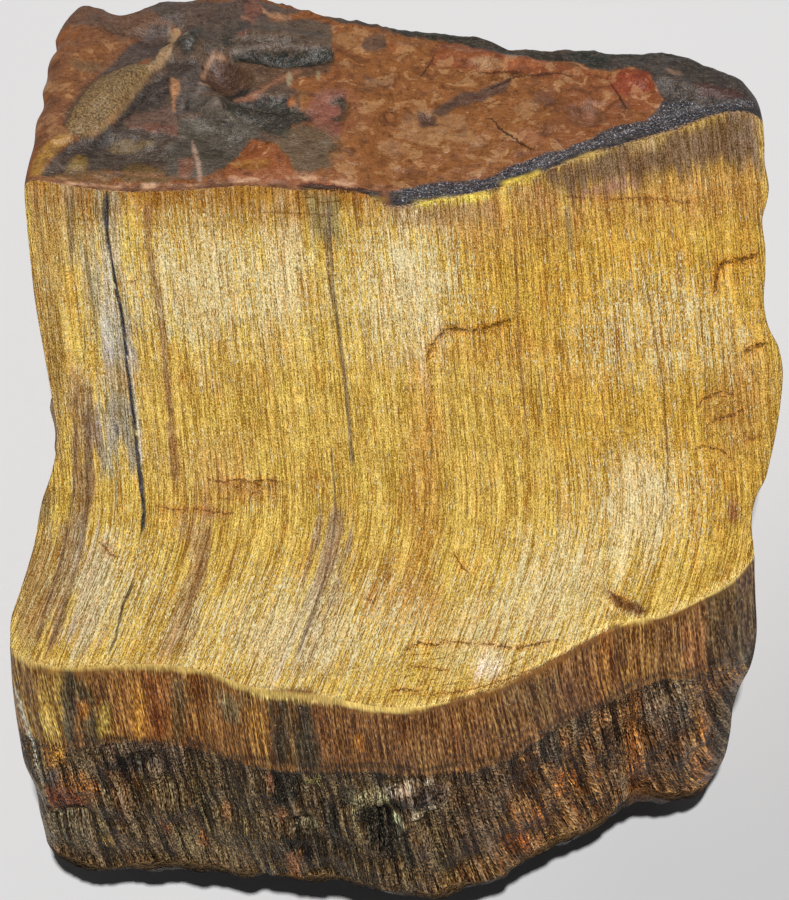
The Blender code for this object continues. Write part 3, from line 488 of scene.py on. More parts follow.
# The right half: orange brown rock with tan patches.
RIGHT_JASPER = (
    (((340, 30), (400, 26), (470, 60), (560, 100), (540, 150), (440, 190), (350, 190), (330, 160),
     (350, 100)), (152, 98, 52), 0.7, 9.6, 9.6, 0.0),
    (spot(345, 42, 12, 8), (172, 124, 78), 0.75, 3, 2.4, 0.0),
    (spot(373, 45, 12, 9), (108, 82, 66), 0.85, 2.4, 1.8, -0.1),
    (spot(394, 50, 9, 6), (166, 102, 58), 0.7, 2.4, 1.8, 0.1),
    (spot(388, 84, 9, 8), (120, 72, 42), 0.8, 2.2, 0.6, -0.15),
    (spot(368, 86, 9, 8), (124, 84, 58), 0.6, 3, 1.8, 0.0),
    (spot(390, 118, 7.5, 7.5), (112, 66, 34), 0.85, 2.2, 0.6, -0.2),
    (spot(390, 118, 4.5, 4.5), (156, 100, 54), 0.9, 2.2, 0.6, 0.1),
    (((404, 116), (424, 110), (444, 117), (466, 116), (466, 130), (442, 134), (426, 146), (408, 143),
     (400, 130)), (168, 122, 80), 0.7, 2.4, 2.4, 0.0),
    (((410, 142), (440, 134), (470, 132), (486, 142), (480, 149), (464, 145), (444, 140), (426, 148)),
     (176, 130, 84), 0.75, 2.4, 2.4, 0.05),
    (((513, 108), (536, 100), (541, 108), (530, 120), (518, 116)), (172, 126, 82), 0.75, 2.4, 1.8, 0.05),
    (((512, 132), (530, 128), (548, 142), (540, 150), (524, 142)), (170, 112, 76), 0.7, 2.4, 2.4, 0.0),
    (((384, 138), (400, 142), (410, 152), (396, 160), (380, 150)), (166, 120, 80), 0.6, 3, 3, 0.0),
    (((434, 112), (446, 103), (462, 93), (480, 91), (500, 83), (513, 79), (506, 92), (482, 101), (460, 107),
     (442, 116)), (92, 70, 60), 0.85, 2.4, 3, -0.15),
    (((418, 114), (436, 116), (436, 126), (420, 127)), (92, 64, 54), 0.9, 2.2, 0.9, -0.15),
    (spot(545, 100, 12, 9, 20), (112, 74, 56), 0.7, 3.6, 3, -0.05),
    (((566, 119), (575, 107), (590, 102), (606, 111), (608, 121), (590, 125), (575, 126)), (110, 82, 62), 0.9,
     2.2, 1.2, -0.25),
    (spot(588, 115, 6, 6), (164, 118, 96), 0.7, 2.4, 1.8, 0.1),
)
# The crest: red, orange and pale tan streaks under a dark rim.
CREST_STREAKS = (
    (((430, 66), (438, 46), (456, 44), (506, 56), (560, 66), (590, 72), (590, 80), (540, 78), (480, 72)),
     (150, 84, 50), 0.75, 3, 2.4, 0.1),
    (((468, 62), (490, 60), (506, 66), (506, 70), (486, 70)), (180, 136, 92), 0.8, 2.4, 1.2, 0.1),
    (((504, 62), (546, 64), (546, 70), (506, 72)), (182, 108, 66), 0.8, 2.4, 1.2, 0.1),
    (((384, 26), (398, 24), (412, 34), (470, 38), (506, 46), (514, 52), (560, 56), (596, 58), (596, 66),
     (540, 62), (500, 56), (460, 44), (410, 40), (390, 34)), (48, 50, 44), 0.95, 2.2, 1.8, -0.1),
    (((268, -20), (330, 4), (345, 16), (384, 24), (384, 30), (340, 24), (320, 14), (290, 4)), (62, 58, 52),
     0.9, 2.2, 1.2, -0.1),
)
# The dark right corner with its red patch.
DARK_CORNER = (
    (((560, 58), (572, 53), (600, 50), (630, 55), (665, 52), (690, 60), (720, 73), (752, 80), (772, 108),
     (742, 110), (700, 124), (662, 126), (662, 108), (656, 94), (650, 82), (634, 72), (610, 72), (586, 70)),
     (60, 57, 54), 0.97, 2.4, 2.4, 0.2),
    (((570, 56), (602, 52), (612, 60), (600, 70), (584, 68)), (42, 48, 42), 0.85, 3, 2.4, 0.0),
    (((640, 66), (672, 70), (700, 84), (720, 100), (700, 110), (672, 100), (656, 86)), (78, 68, 62), 0.7, 4.8,
     3.6, 0.0),
    (((694, 86), (740, 92), (744, 98), (720, 100), (700, 96)), (88, 56, 52), 0.7, 3.6, 3, 0.0),
    (((608, 78), (630, 70), (650, 78), (657, 92), (664, 100), (652, 110), (636, 112), (622, 104)),
     (150, 86, 48), 0.9, 2.2, 1.8, 0.15),
    (((606, 80), (630, 70), (648, 76), (652, 88), (640, 98), (624, 96), (612, 90)), (150, 66, 44), 0.7, 4.2,
     3.6, 0.0),
    (((562, 76), (600, 74), (612, 92), (624, 108), (640, 116), (600, 132), (560, 146), (566, 100)),
     (146, 86, 50), 0.5, 6, 4.8, 0.0),
    (spot(675, 76, 10, 3, 8), (166, 130, 100), 0.6, 2.4, 1.8, 0.1),
)
# The pink and cream seam along the edge.
PINK_SEAM = (
    (((60, 190), (60, 186), (160, 186), (240, 183), (300, 179), (340, 184), (400, 187), (400, 192)),
     (160, 108, 80), 0.5, 2.4, 3.6, 0.15),
)
CAP_PATCHES = (
    SHOULDER + DARK_BED + GREY_VEIN + BELOW_LEAF + OCHRE_LEAF + KNOB_AND_DOME + CREAM_SLIVER + BLACK_HOLLOWS
    + RIBS + PINK_RING + ORANGE_TRIANGLE + RIGHT_JASPER + CREST_STREAKS + DARK_CORNER + PINK_SEAM
)

# The right half leans to orange.
ORANGE_HALF = (
    (((450, 200), (600, 150), (780, 120), (790, 520), (700, 560), (600, 500), (520, 420), (460, 330)),
     (194, 148, 44), 0.8, 70, 10, 0.0),
)
# Orange brown below the upper edge.
UPPER_EDGE = (
    (((20, 160), (400, 160), (400, 216), (300, 224), (160, 222), (20, 212)), (150, 98, 22), 0.9, 22, 10, 0.0),
    (((300, 180), (312, 186), (342, 190), (342, 245), (312, 238)), (138, 116, 56), 0.85, 8, 6, 0.0),
    (((383, 200), (497, 198), (497, 222), (440, 228), (390, 224)), (146, 112, 56), 0.9, 8, 5, 0.0),
    (((400, 222), (540, 200), (640, 170), (760, 150), (760, 210), (640, 222), (480, 250)), (172, 122, 52),
     0.65, 24, 10, 0.0),
    (((530, 172), (560, 158), (620, 140), (700, 122), (752, 106), (760, 150), (700, 168), (640, 182),
     (590, 192), (560, 196)), (112, 84, 48), 0.95, 12, 8, -0.1),
    (((500, 192), (530, 180), (560, 190), (556, 212), (520, 214)), (168, 122, 56), 0.8, 8, 6, 0.0),
    (((628, 138), (664, 134), (664, 148), (630, 154)), (174, 142, 74), 0.8, 6, 4, 0.0),
    (((575, 190), (600, 182), (630, 176), (640, 186), (610, 196), (580, 200)), (150, 108, 64), 0.85, 4, 3,
     0.05),
)
# Dark cross grain at the right edge.
CROSS_GRAIN = (
    (((720, 110), (762, 100), (764, 170), (740, 160)), (130, 104, 66), 0.6, 12, 8, 0.0),
)
# The blue grey and brown bands on the left.
LEFT_BANDS = (
    (((104, 200), (122, 200), (128, 330), (140, 460), (118, 470), (98, 440), (94, 330), (98, 240)),
     (158, 142, 92), 0.65, 10, 24, 0.0),
    (((100, 330), (126, 330), (132, 380), (136, 450), (112, 470), (98, 430)), (130, 122, 92), 0.6, 8, 22,
     0.0),
    (((62, 180), (76, 180), (80, 262), (68, 262)), (150, 130, 86), 0.5, 12, 10, 0.0),
    (((84, 236), (95, 236), (100, 312), (88, 316)), (146, 132, 90), 0.5, 10, 10, 0.0),
    (((70, 372), (92, 372), (96, 470), (88, 560), (66, 640), (36, 662), (52, 590), (74, 500)), (140, 106, 66),
     0.7, 8, 18, 0.0),
    (((80, 540), (112, 540), (112, 590), (100, 640), (74, 650), (72, 600)), (170, 152, 108), 0.55, 10, 18,
     0.0),
    (((20, 560), (52, 520), (56, 560), (40, 640), (14, 650)), (150, 116, 60), 0.7, 12, 8, 0.0),
    (((36, 480), (54, 490), (50, 530), (36, 524)), (128, 104, 54), 0.8, 8, 6, 0.0),
    (((24, 180), (60, 190), (66, 330), (66, 460), (50, 460), (36, 330)), (166, 128, 58), 0.65, 12, 8, 0.0),
    (((206, 481), (230, 479), (262, 481), (287, 483), (270, 490), (250, 496), (230, 492)), (150, 98, 38), 0.8,
     4, 3, -0.3),
    (((149, 505), (180, 507), (215, 510), (242, 512), (226, 518), (190, 516), (160, 514)), (156, 106, 44),
     0.7, 4, 3, -0.2),
)
# Orange zones.
ORANGE_ZONES = (
    (spot(425, 470, 20, 100), (186, 132, 46), 0.6, 20, 8, 0.0),
    (spot(400, 600, 44, 34), (178, 126, 52), 0.6, 24, 10, 0.0),
    (spot(560, 345, 190, 14, -5), (184, 134, 44), 0.55, 14, 6, 0.0),
    (spot(600, 372, 170, 8, -3), (206, 168, 74), 0.5, 10, 5, 0.0),
    (spot(160, 380, 120, 14), (182, 138, 56), 0.5, 14, 6, 0.0),
    (spot(740, 400, 30, 60), (176, 130, 54), 0.6, 24, 8, 0.0),
    (spot(734, 512, 7, 14), (150, 96, 48), 0.85, 6, 4, -0.2),
    (((604, 590), (612, 592), (622, 600), (636, 604), (645, 612), (640, 619), (626, 614), (616, 606)),
     (106, 62, 24), 0.95, 2.5, 2, -0.5),
    (((612, 601), (622, 608), (634, 615), (628, 618), (614, 612), (606, 602)), (224, 190, 100), 0.6, 3, 2,
     0.1),
    (((140, 440), (250, 440), (250, 486), (200, 492), (150, 478)), (188, 146, 66), 0.5, 16, 8, 0.0),
    (((146, 512), (184, 506), (186, 536), (160, 546)), (210, 170, 62), 0.75, 10, 6, 0.0),
    (((186, 488), (284, 482), (276, 500), (200, 508)), (178, 132, 50), 0.7, 8, 6, 0.0),
)
# Grey and mauve shade by the crease.
CREASE_SHADE = (
    (((326, 520), (348, 520), (344, 580), (326, 640), (306, 672), (280, 672), (296, 620), (314, 570)),
     (148, 120, 80), 0.75, 10, 18, 0.0),
    (((184, 516), (206, 514), (204, 580), (186, 640), (170, 668), (152, 668), (168, 620), (188, 570)),
     (158, 118, 68), 0.65, 8, 16, 0.0),
)
# Pale patches of painted sheen, where the silk catches the light.
PAINTED_SHEEN_PATCHES = (
    (spot(285, 285, 24, 60), (222, 196, 126), 0.4, 30, 36, 0.0),
    (spot(405, 290, 30, 60), (224, 200, 134), 0.4, 30, 36, 0.0),
    (spot(200, 280, 40, 50), (208, 182, 112), 0.4, 30, 36, 0.0),
    (spot(110, 300, 8, 60), (206, 196, 160), 0.3, 8, 6, 0.0),
    (spot(640, 505, 36, 44, 30), (226, 202, 126), 0.4, 30, 36, 0.0),
    (spot(560, 585, 60, 34, -38), (218, 192, 116), 0.4, 30, 36, 0.0),
    (spot(500, 640, 50, 30, -30), (210, 184, 112), 0.4, 30, 36, 0.0),
    (spot(490, 667, 18, 12, -50), (244, 228, 176), 0.5, 10, 6, 0.0),
    (spot(300, 640, 60, 30), (196, 170, 108), 0.5, 20, 24, 0.0),
)
FACE_PATCHES = ORANGE_HALF + UPPER_EDGE + CROSS_GRAIN + LEFT_BANDS + ORANGE_ZONES + CREASE_SHADE + PAINTED_SHEEN_PATCHES

# The left end of the band: ochre and orange streaks between dark ones.
BAND_LEFT = (
    (((0, 650), (60, 650), (60, 745), (0, 745)), (134, 94, 50), 0.8, 20, 10, 0.0),
    (((38, 672), (66, 672), (68, 738), (44, 738)), (172, 130, 62), 0.85, 8, 6, 0.0),
    (((60, 670), (70, 670), (76, 720), (80, 742), (66, 742)), (58, 50, 40), 0.85, 6, 8, -0.1),
    (((78, 684), (92, 684), (98, 742), (88, 748), (80, 712)), (62, 54, 40), 0.8, 7, 8, -0.1),
    (((78, 700), (88, 698), (88, 716), (80, 718)), (170, 104, 44), 0.8, 4, 3, 0.0),
    (((98, 700), (112, 700), (112, 734), (100, 734)), (160, 128, 58), 0.8, 6, 4, 0.0),
)
# Rust and orange streaks, and the brown around them.
BAND_RUST = (
    (((106, 676), (172, 672), (172, 738), (110, 736)), (150, 96, 46), 0.8, 10, 8, 0.0),
    (((132, 690), (146, 690), (148, 734), (134, 734)), (176, 114, 44), 0.8, 8, 5, 0.0),
    (((146, 676), (168, 676), (168, 736), (150, 736)), (138, 78, 38), 0.8, 7, 6, 0.0),
    (((172, 676), (186, 680), (186, 740), (172, 736)), (112, 84, 52), 0.8, 6, 4, 0.0),
    (((186, 676), (268, 690), (268, 760), (186, 742)), (132, 84, 40), 0.8, 8, 8, 0.0),
    (((216, 694), (242, 700), (240, 720), (220, 716)), (118, 96, 66), 0.8, 8, 6, 0.0),
    (((250, 710), (268, 712), (270, 756), (254, 752)), (156, 102, 46), 0.7, 7, 5, 0.0),
)
# Two dark streaks that run down from the grey shade above the crease.
BAND_DARK_STREAKS = (
    (((272, 690), (288, 694), (294, 764), (276, 764)), (58, 50, 38), 0.85, 8, 9, -0.1),
    (((288, 696), (296, 696), (302, 764), (294, 764)), (92, 68, 42), 0.8, 5, 6, 0.0),
    (((296, 694), (312, 696), (324, 768), (302, 768)), (54, 48, 38), 0.85, 8, 9, -0.1),
)
# The plain red-brown middle.
BAND_MIDDLE = (
    (((322, 700), (470, 712), (540, 680), (620, 632), (620, 690), (530, 736), (470, 758), (330, 762)),
     (124, 78, 42), 0.8, 14, 8, 0.0),
    (spot(359, 742, 6, 7), (184, 114, 44), 0.7, 4, 3, 0.0),
    (((500, 690), (560, 664), (560, 716), (500, 744)), (110, 78, 44), 0.6, 12, 8, 0.0),
)
# The right end: orange streaks, then dark brown.
BAND_RIGHT = (
    (((596, 630), (610, 626), (612, 694), (598, 696)), (150, 92, 42), 0.7, 8, 6, 0.0),
    (((622, 622), (652, 618), (652, 676), (626, 678)), (150, 100, 48), 0.75, 8, 6, 0.0),
    (((680, 630), (704, 620), (704, 670), (684, 676)), (146, 90, 50), 0.75, 8, 6, 0.0),
    (((706, 590), (770, 560), (770, 700), (706, 690)), (94, 68, 42), 0.85, 12, 10, 0.0),
    (((724, 626), (770, 600), (770, 700), (730, 690)), (86, 62, 42), 0.8, 10, 8, 0.0),
)
BAND_PATCHES = BAND_LEFT + BAND_RUST + BAND_DARK_STREAKS + BAND_MIDDLE + BAND_RIGHT

# The left of the dark zone: a pale ledge over a hollow, and orange chips.
DARK_LEFT = (
    (((90, 780), (180, 776), (270, 790), (270, 860), (90, 850)), (98, 78, 54), 0.6, 14, 8, 0.0),
    (((96, 738), (184, 738), (184, 776), (104, 776)), (98, 76, 62), 0.75, 8, 8, 0.25),
    (((104, 762), (122, 758), (150, 748), (156, 764), (130, 774), (106, 778)), (34, 30, 28), 0.85, 5, 5,
     -0.5),
    (((184, 752), (214, 756), (220, 784), (196, 790)), (88, 68, 44), 0.7, 8, 8, 0.0),
    (((40, 744), (66, 744), (66, 766), (46, 766)), (150, 100, 41), 0.9, 6, 6, 0.2),
    (((46, 770), (60, 768), (60, 782), (50, 784)), (72, 58, 56), 0.8, 5, 4, -0.2),
    (((60, 776), (84, 772), (98, 790), (92, 812), (80, 816), (62, 800)), (133, 82, 38), 0.9, 8, 6, 0.2),
    (((46, 788), (62, 784), (80, 800), (80, 814), (52, 814)), (116, 58, 30), 0.9, 6, 4, 0.0),
    (((44, 816), (86, 814), (92, 850), (50, 856)), (100, 84, 64), 0.92, 5, 3, -0.3),
)
# Rust and ochre spots between the dark strands.
RUST_SPOTS = (
    (((108, 770), (126, 776), (132, 820), (118, 822)), (104, 70, 44), 0.7, 8, 6, 0.0),
    (((132, 776), (142, 776), (142, 792), (132, 790)), (142, 92, 41), 0.8, 5, 4, 0.0),
    (((140, 780), (156, 776), (158, 800), (146, 800)), (140, 112, 72), 0.7, 6, 5, 0.0),
    (((156, 812), (176, 820), (172, 834), (156, 830)), (128, 84, 50), 0.8, 6, 5, 0.1),
    (spot(202, 842, 6, 6), (147, 92, 43), 0.85, 4, 4, 0.1),
    (spot(108, 843, 5, 4), (176, 132, 62), 0.8, 4, 3, 0.1),
    (spot(226, 810, 5, 10), (128, 80, 45), 0.8, 4, 4, 0.1),
    (spot(283, 812, 4, 12, -10), (128, 82, 48), 0.8, 4, 4, 0.1),
    (spot(271, 778, 4, 8), (134, 72, 50), 0.8, 4, 3, 0.1),
)
# Black pits under pale glassy edges.
BLACK_PITS = (
    (((272, 768), (300, 768), (302, 800), (278, 804)), (34, 31, 26), 0.9, 8, 6, -0.5),
    (((304, 778), (320, 774), (320, 784), (306, 784)), (150, 136, 82), 0.85, 4, 3, 0.2),
    (((288, 829), (300, 828), (322, 826), (321, 831), (304, 833), (289, 835)), (138, 126, 104), 0.75, 3, 5,
     0.2),
    (((286, 837), (298, 835), (301, 850), (290, 853)), (34, 30, 26), 0.9, 5, 8, -0.3),
    (((300, 836), (312, 834), (318, 856), (306, 860)), (38, 34, 29), 0.85, 5, 8, -0.2),
    (((314, 834), (326, 832), (330, 852), (320, 854)), (36, 32, 28), 0.85, 5, 8, -0.3),
    (((320, 802), (334, 808), (342, 850), (334, 854), (326, 834)), (34, 30, 26), 0.9, 5, 3, -0.4),
    (((340, 792), (352, 790), (352, 808), (342, 810)), (34, 30, 26), 0.85, 5, 4, -0.3),
    (((372, 770), (382, 770), (384, 796), (374, 796)), (44, 38, 34), 0.85, 5, 3, -0.3),
    (((352, 796), (374, 796), (386, 806), (376, 816), (356, 814)), (124, 108, 80), 0.85, 6, 5, 0.2),
    (((380, 798), (389, 796), (388, 812), (380, 814)), (176, 164, 124), 0.85, 4, 3, 0.3),
    (((360, 818), (374, 814), (386, 846), (372, 844)), (36, 32, 28), 0.9, 6, 9, -0.35),
    (((376, 818), (392, 824), (400, 866), (386, 862)), (34, 31, 28), 0.9, 6, 9, -0.3),
    (((398, 834), (410, 832), (416, 858), (404, 864)), (40, 35, 30), 0.85, 6, 9, -0.2),
    (((394, 822), (408, 826), (404, 832), (392, 828)), (186, 174, 140), 0.8, 3, 2, 0.3),
)
# The glassy chip with its bright rim.
GLASSY_CHIP = (
    (((386, 796), (404, 790), (424, 784), (438, 784), (452, 792), (448, 804), (430, 810), (414, 818),
     (404, 816), (392, 804)), (92, 70, 58), 0.95, 4, 3, 0.5),
    (((388, 802), (410, 796), (434, 788), (446, 796), (430, 806), (410, 812), (396, 812)), (46, 36, 32), 0.8,
     5, 3, -0.6),
    (((406, 816), (430, 806), (446, 802), (447, 806), (430, 812), (408, 822)), (170, 150, 126), 0.75, 3, 2,
     0.2),
    (((384, 790), (408, 784), (432, 778), (434, 783), (408, 791), (386, 797)), (168, 146, 128), 0.7, 3, 3,
     0.2),
)
# The right of the dark zone: rust strands between brown ones.
DARK_RIGHT = (
    (((452, 768), (530, 748), (534, 800), (520, 850), (462, 868), (452, 820)), (80, 55, 37), 0.75, 14, 8,
     0.0),
    (((520, 748), (620, 700), (760, 660), (760, 800), (600, 850), (480, 880)), (116, 76, 42), 0.8, 14, 8,
     0.0),
    (((530, 734), (558, 720), (562, 764), (540, 770)), (54, 46, 40), 0.85, 8, 6, -0.2),
    (((556, 774), (567, 772), (566, 798), (558, 800)), (164, 96, 36), 0.9, 5, 4, 0.1),
    (((572, 774), (582, 776), (580, 794), (574, 794)), (160, 96, 38), 0.9, 5, 4, 0.1),
    (((530, 808), (546, 804), (544, 820), (532, 824)), (154, 92, 38), 0.9, 6, 5, 0.1),
    (((508, 832), (528, 834), (532, 848), (514, 856), (504, 846)), (162, 92, 38), 0.9, 6, 5, 0.1),
    (((534, 842), (544, 840), (540, 856), (532, 856)), (148, 84, 40), 0.8, 5, 4, 0.0),
    (((566, 700), (600, 692), (600, 740), (572, 746)), (82, 66, 50), 0.7, 10, 8, 0.0),
    (((594, 708), (606, 704), (606, 734), (596, 736)), (122, 80, 46), 0.8, 6, 5, 0.0),
    (((602, 730), (622, 730), (622, 770), (606, 772)), (60, 44, 34), 0.8, 8, 6, -0.1),
    (((628, 682), (640, 680), (642, 800), (632, 800)), (136, 80, 38), 0.8, 8, 6, 0.0),
    (((640, 688), (690, 680), (690, 730), (644, 732)), (96, 78, 64), 0.75, 10, 8, 0.2),
    (((646, 732), (690, 730), (690, 760), (650, 764)), (84, 56, 40), 0.7, 10, 8, 0.0),
    (((698, 712), (708, 714), (706, 742), (700, 742)), (164, 96, 38), 0.85, 5, 4, 0.1),
    (((632, 778), (650, 780), (646, 800), (634, 800)), (154, 92, 40), 0.85, 6, 5, 0.0),
    (((696, 752), (716, 752), (712, 786), (690, 792)), (130, 78, 40), 0.8, 8, 6, 0.0),
    (((716, 706), (740, 690), (742, 740), (728, 770), (714, 770)), (94, 76, 56), 0.8, 6, 4, -0.2),
)
# Warmer brown near the foot.
NEAR_FOOT = (
    (((288, 856), (302, 854), (302, 888), (290, 888)), (136, 82, 42), 0.7, 6, 5, 0.0),
    (((60, 850), (260, 852), (260, 880), (80, 872)), (104, 78, 50), 0.5, 10, 8, 0.0),
    (((420, 876), (520, 850), (600, 812), (700, 776), (700, 800), (600, 840), (500, 884), (420, 894)),
     (122, 86, 50), 0.6, 8, 6, 0.0),
)
DARK_PATCHES = DARK_LEFT + RUST_SPOTS + BLACK_PITS + GLASSY_CHIP + DARK_RIGHT + NEAR_FOOT

# The blue-black edge between the wall rock and the fibres.
BLACK_EDGE = (
    ((400, 190), (420, 186), (450, 182), (490, 178), (510, 168), (530, 160), (560, 150), (590, 140),
     (600, 132), (622, 124), (645, 120), (665, 103), (680, 98), (695, 105), (715, 106), (755, 94), (755, 102),
     (700, 117), (665, 131), (625, 135), (600, 147), (570, 156), (545, 168), (520, 175), (500, 182),
     (496, 191), (480, 193), (430, 199), (402, 204)), (50, 47, 50), 0.97, 2.5, 2, -0.1,
)
EDGE_PATCHES = (
    BLACK_EDGE,
    (((222, 182), (240, 170), (262, 168), (290, 170), (340, 180), (372, 186), (350, 190), (300, 186),
     (260, 184)), (164, 104, 74), 0.5, 3, 4, 0.1),
    (((494, 178), (500, 177), (500, 190), (495, 193)), (64, 58, 54), 0.9, 2, 1, 0.0),
)

# Painted lines: path, half width, softness and raggedness in pixels, strength and colour.
SEAMS = (
    (((62, 183), (110, 187), (180, 186), (226, 183), (250, 180), (300, 177), (340, 183), (372, 187),
     (398, 185)), 0.9, 1.8, 3.0, 0.85, (206, 162, 126)),
    (((100, 172), (150, 176), (186, 178), (226, 178)), 1.2, 2.0, 3.0, 0.5, (158, 108, 78)),
    (((410, 207), (430, 203), (460, 199), (480, 196), (495, 193)), 3.4, 2.5, 1.0, 0.95, (244, 220, 92)),
    (((497, 185), (520, 179), (546, 171)), 2.6, 2.5, 1.0, 0.9, (240, 208, 84)),
    (((560, 165), (590, 154), (612, 149)), 2.0, 3.0, 1.5, 0.75, (222, 186, 90)),
    (((300, 189), (330, 191), (360, 196), (392, 203)), 1.6, 2.5, 1.0, 0.5, (196, 158, 66)),
)
FOLDS = (
    (((6, 653), (18, 660), (60, 664), (110, 664), (160, 664), (210, 671), (240, 684), (270, 694), (340, 699),
     (372, 706), (400, 708)), 4.2, 4.0, 1.6, 0.8, (250, 214, 122)),
    (((340, 701), (372, 709), (400, 709), (430, 704), (460, 696), (500, 684), (520, 674), (550, 657),
     (590, 634), (620, 622), (660, 616), (690, 603), (720, 586), (738, 573), (760, 555)), 2.4, 3.0, 1.4, 0.9,
     (276, 240, 138)),
    (((385, 697), (400, 693), (430, 698), (460, 691), (490, 681), (520, 667), (545, 652), (580, 632)), 1.3,
     2.0, 1.5, 0.4, (150, 106, 50)),
)
BAND_LINES = (
    (((60, 737), (120, 738), (186, 739), (225, 755), (275, 758), (320, 765), (345, 765), (410, 768),
     (430, 770), (470, 762), (500, 755), (515, 748), (530, 735), (550, 724), (570, 715), (600, 705),
     (635, 680), (660, 675), (690, 672), (720, 660), (745, 645)), 2.2, 3.0, 2.5, 0.6, (54, 38, 26)),
    (((52, 813), (66, 815), (80, 812)), 1.6, 2.5, 1.0, 0.6, (150, 100, 60)),
    # A painted highlight along the left edge of the band.
    (((14, 690), (22, 720), (32, 745), (40, 775), (46, 790)), 2.4, 2.5, 2.5, 0.7, (212, 200, 172)),
)

# Where the painted glints gather, as painted sheen where the fibres shine most.
PAINTED_SHEEN_SPOTS = (
    spot(210, 285, 110, 70), spot(400, 285, 80, 75), spot(640, 510, 70, 60, -30),
    spot(540, 600, 100, 60, -35),
    spot(300, 630, 150, 60), spot(110, 590, 60, 60), spot(110, 330, 24, 150), spot(660, 330, 90, 60),
)

# Thin streaks that run down with the fibres, and cracks that cross them, some of them painted shadow lines
# under the steps of broken flakes: path, half width in millimetres, strength and colour.
STREAKS = (
    (((107, 184), (107, 234), (113, 267), (118, 296), (122, 315), (126, 348), (130, 390), (136, 435),
     (140, 480), (144, 508), (141, 546)), 0.17, 1.0, (46, 46, 58)),
    (((136, 430), (141, 478), (144, 510), (142, 540)), 0.26, 0.9, (52, 52, 66)),
    (((110, 262), (113, 290)), 0.16, 0.7, (232, 226, 204)),
    (((129, 340), (134, 390), (140, 440), (143, 470)), 0.12, 0.6, (228, 220, 196)),
    (((113, 416), (117, 430), (118, 444)), 0.22, 0.8, (84, 84, 92)),
    (((106, 400), (109, 440), (111, 478)), 0.14, 0.6, (224, 218, 196)),
    (((84, 312), (85, 350), (86, 376)), 0.07, 0.7, (110, 84, 50)),
    (((101, 188), (104, 220), (109, 262)), 0.09, 0.7, (74, 72, 76)),
    (((137, 573), (131, 588), (124, 604), (115, 640), (106, 662)), 0.14, 0.8, (66, 56, 58)),
    (((147, 196), (149, 240), (153, 265), (162, 330), (168, 400), (177, 488)), 0.42, 0.65, (146, 98, 68)),
    (((151, 240), (157, 300), (163, 345), (169, 420)), 0.14, 0.6, (122, 76, 62)),
    (((210, 519), (201, 573), (184, 621), (168, 665)), 0.5, 0.55, (148, 106, 64)),
    (((328, 190), (330, 240), (333, 290), (340, 338), (347, 400), (353, 473)), 0.2, 0.75, (104, 88, 70)),
    (((322, 190), (326, 250), (332, 310)), 0.12, 0.6, (128, 108, 70)),
    (((331, 439), (336, 515), (330, 560), (318, 600), (300, 650), (292, 664)), 0.14, 0.65, (108, 84, 62)),
    (((515, 240), (518, 320), (522, 380), (530, 460)), 0.18, 0.65, (146, 98, 50)),
    (((540, 360), (541, 430)), 0.14, 0.5, (140, 124, 96)),
    (((566, 196), (572, 262)), 0.3, 0.55, (132, 120, 92)),
    (((641, 252), (651, 313), (664, 390), (668, 470), (664, 506), (653, 535)), 0.1, 0.65, (130, 86, 42)),
    (((84, 240), (94, 310), (98, 350)), 0.18, 0.6, (112, 104, 94)),
    (((70, 190), (72, 262)), 0.25, 0.55, (120, 102, 80)),
    (((92, 376), (88, 430), (88, 500), (80, 560), (64, 610), (48, 655)), 0.3, 0.6, (112, 82, 62)),
    (((78, 372), (76, 440), (74, 490), (62, 560), (46, 610), (34, 650)), 0.16, 0.6, (122, 86, 58)),
    (((172, 545), (158, 600), (140, 650)), 0.1, 0.55, (120, 84, 50)),
    (((236, 540), (226, 590), (206, 650)), 0.1, 0.5, (124, 90, 52)),
    (((262, 540), (252, 600), (232, 660)), 0.08, 0.45, (124, 90, 52)),
    (((296, 500), (290, 560), (272, 620), (258, 660)), 0.08, 0.45, (130, 94, 54)),
    (((430, 360), (432, 420), (430, 500)), 0.08, 0.5, (140, 92, 40)),
    (((455, 230), (460, 300)), 0.08, 0.4, (140, 96, 44)),
    (((600, 380), (606, 440), (602, 500), (590, 540)), 0.08, 0.5, (140, 92, 40)),
    (((700, 300), (706, 380), (704, 440)), 0.08, 0.5, (140, 92, 40)),
    (((40, 220), (50, 330), (60, 420)), 0.1, 0.5, (136, 104, 56)),
)
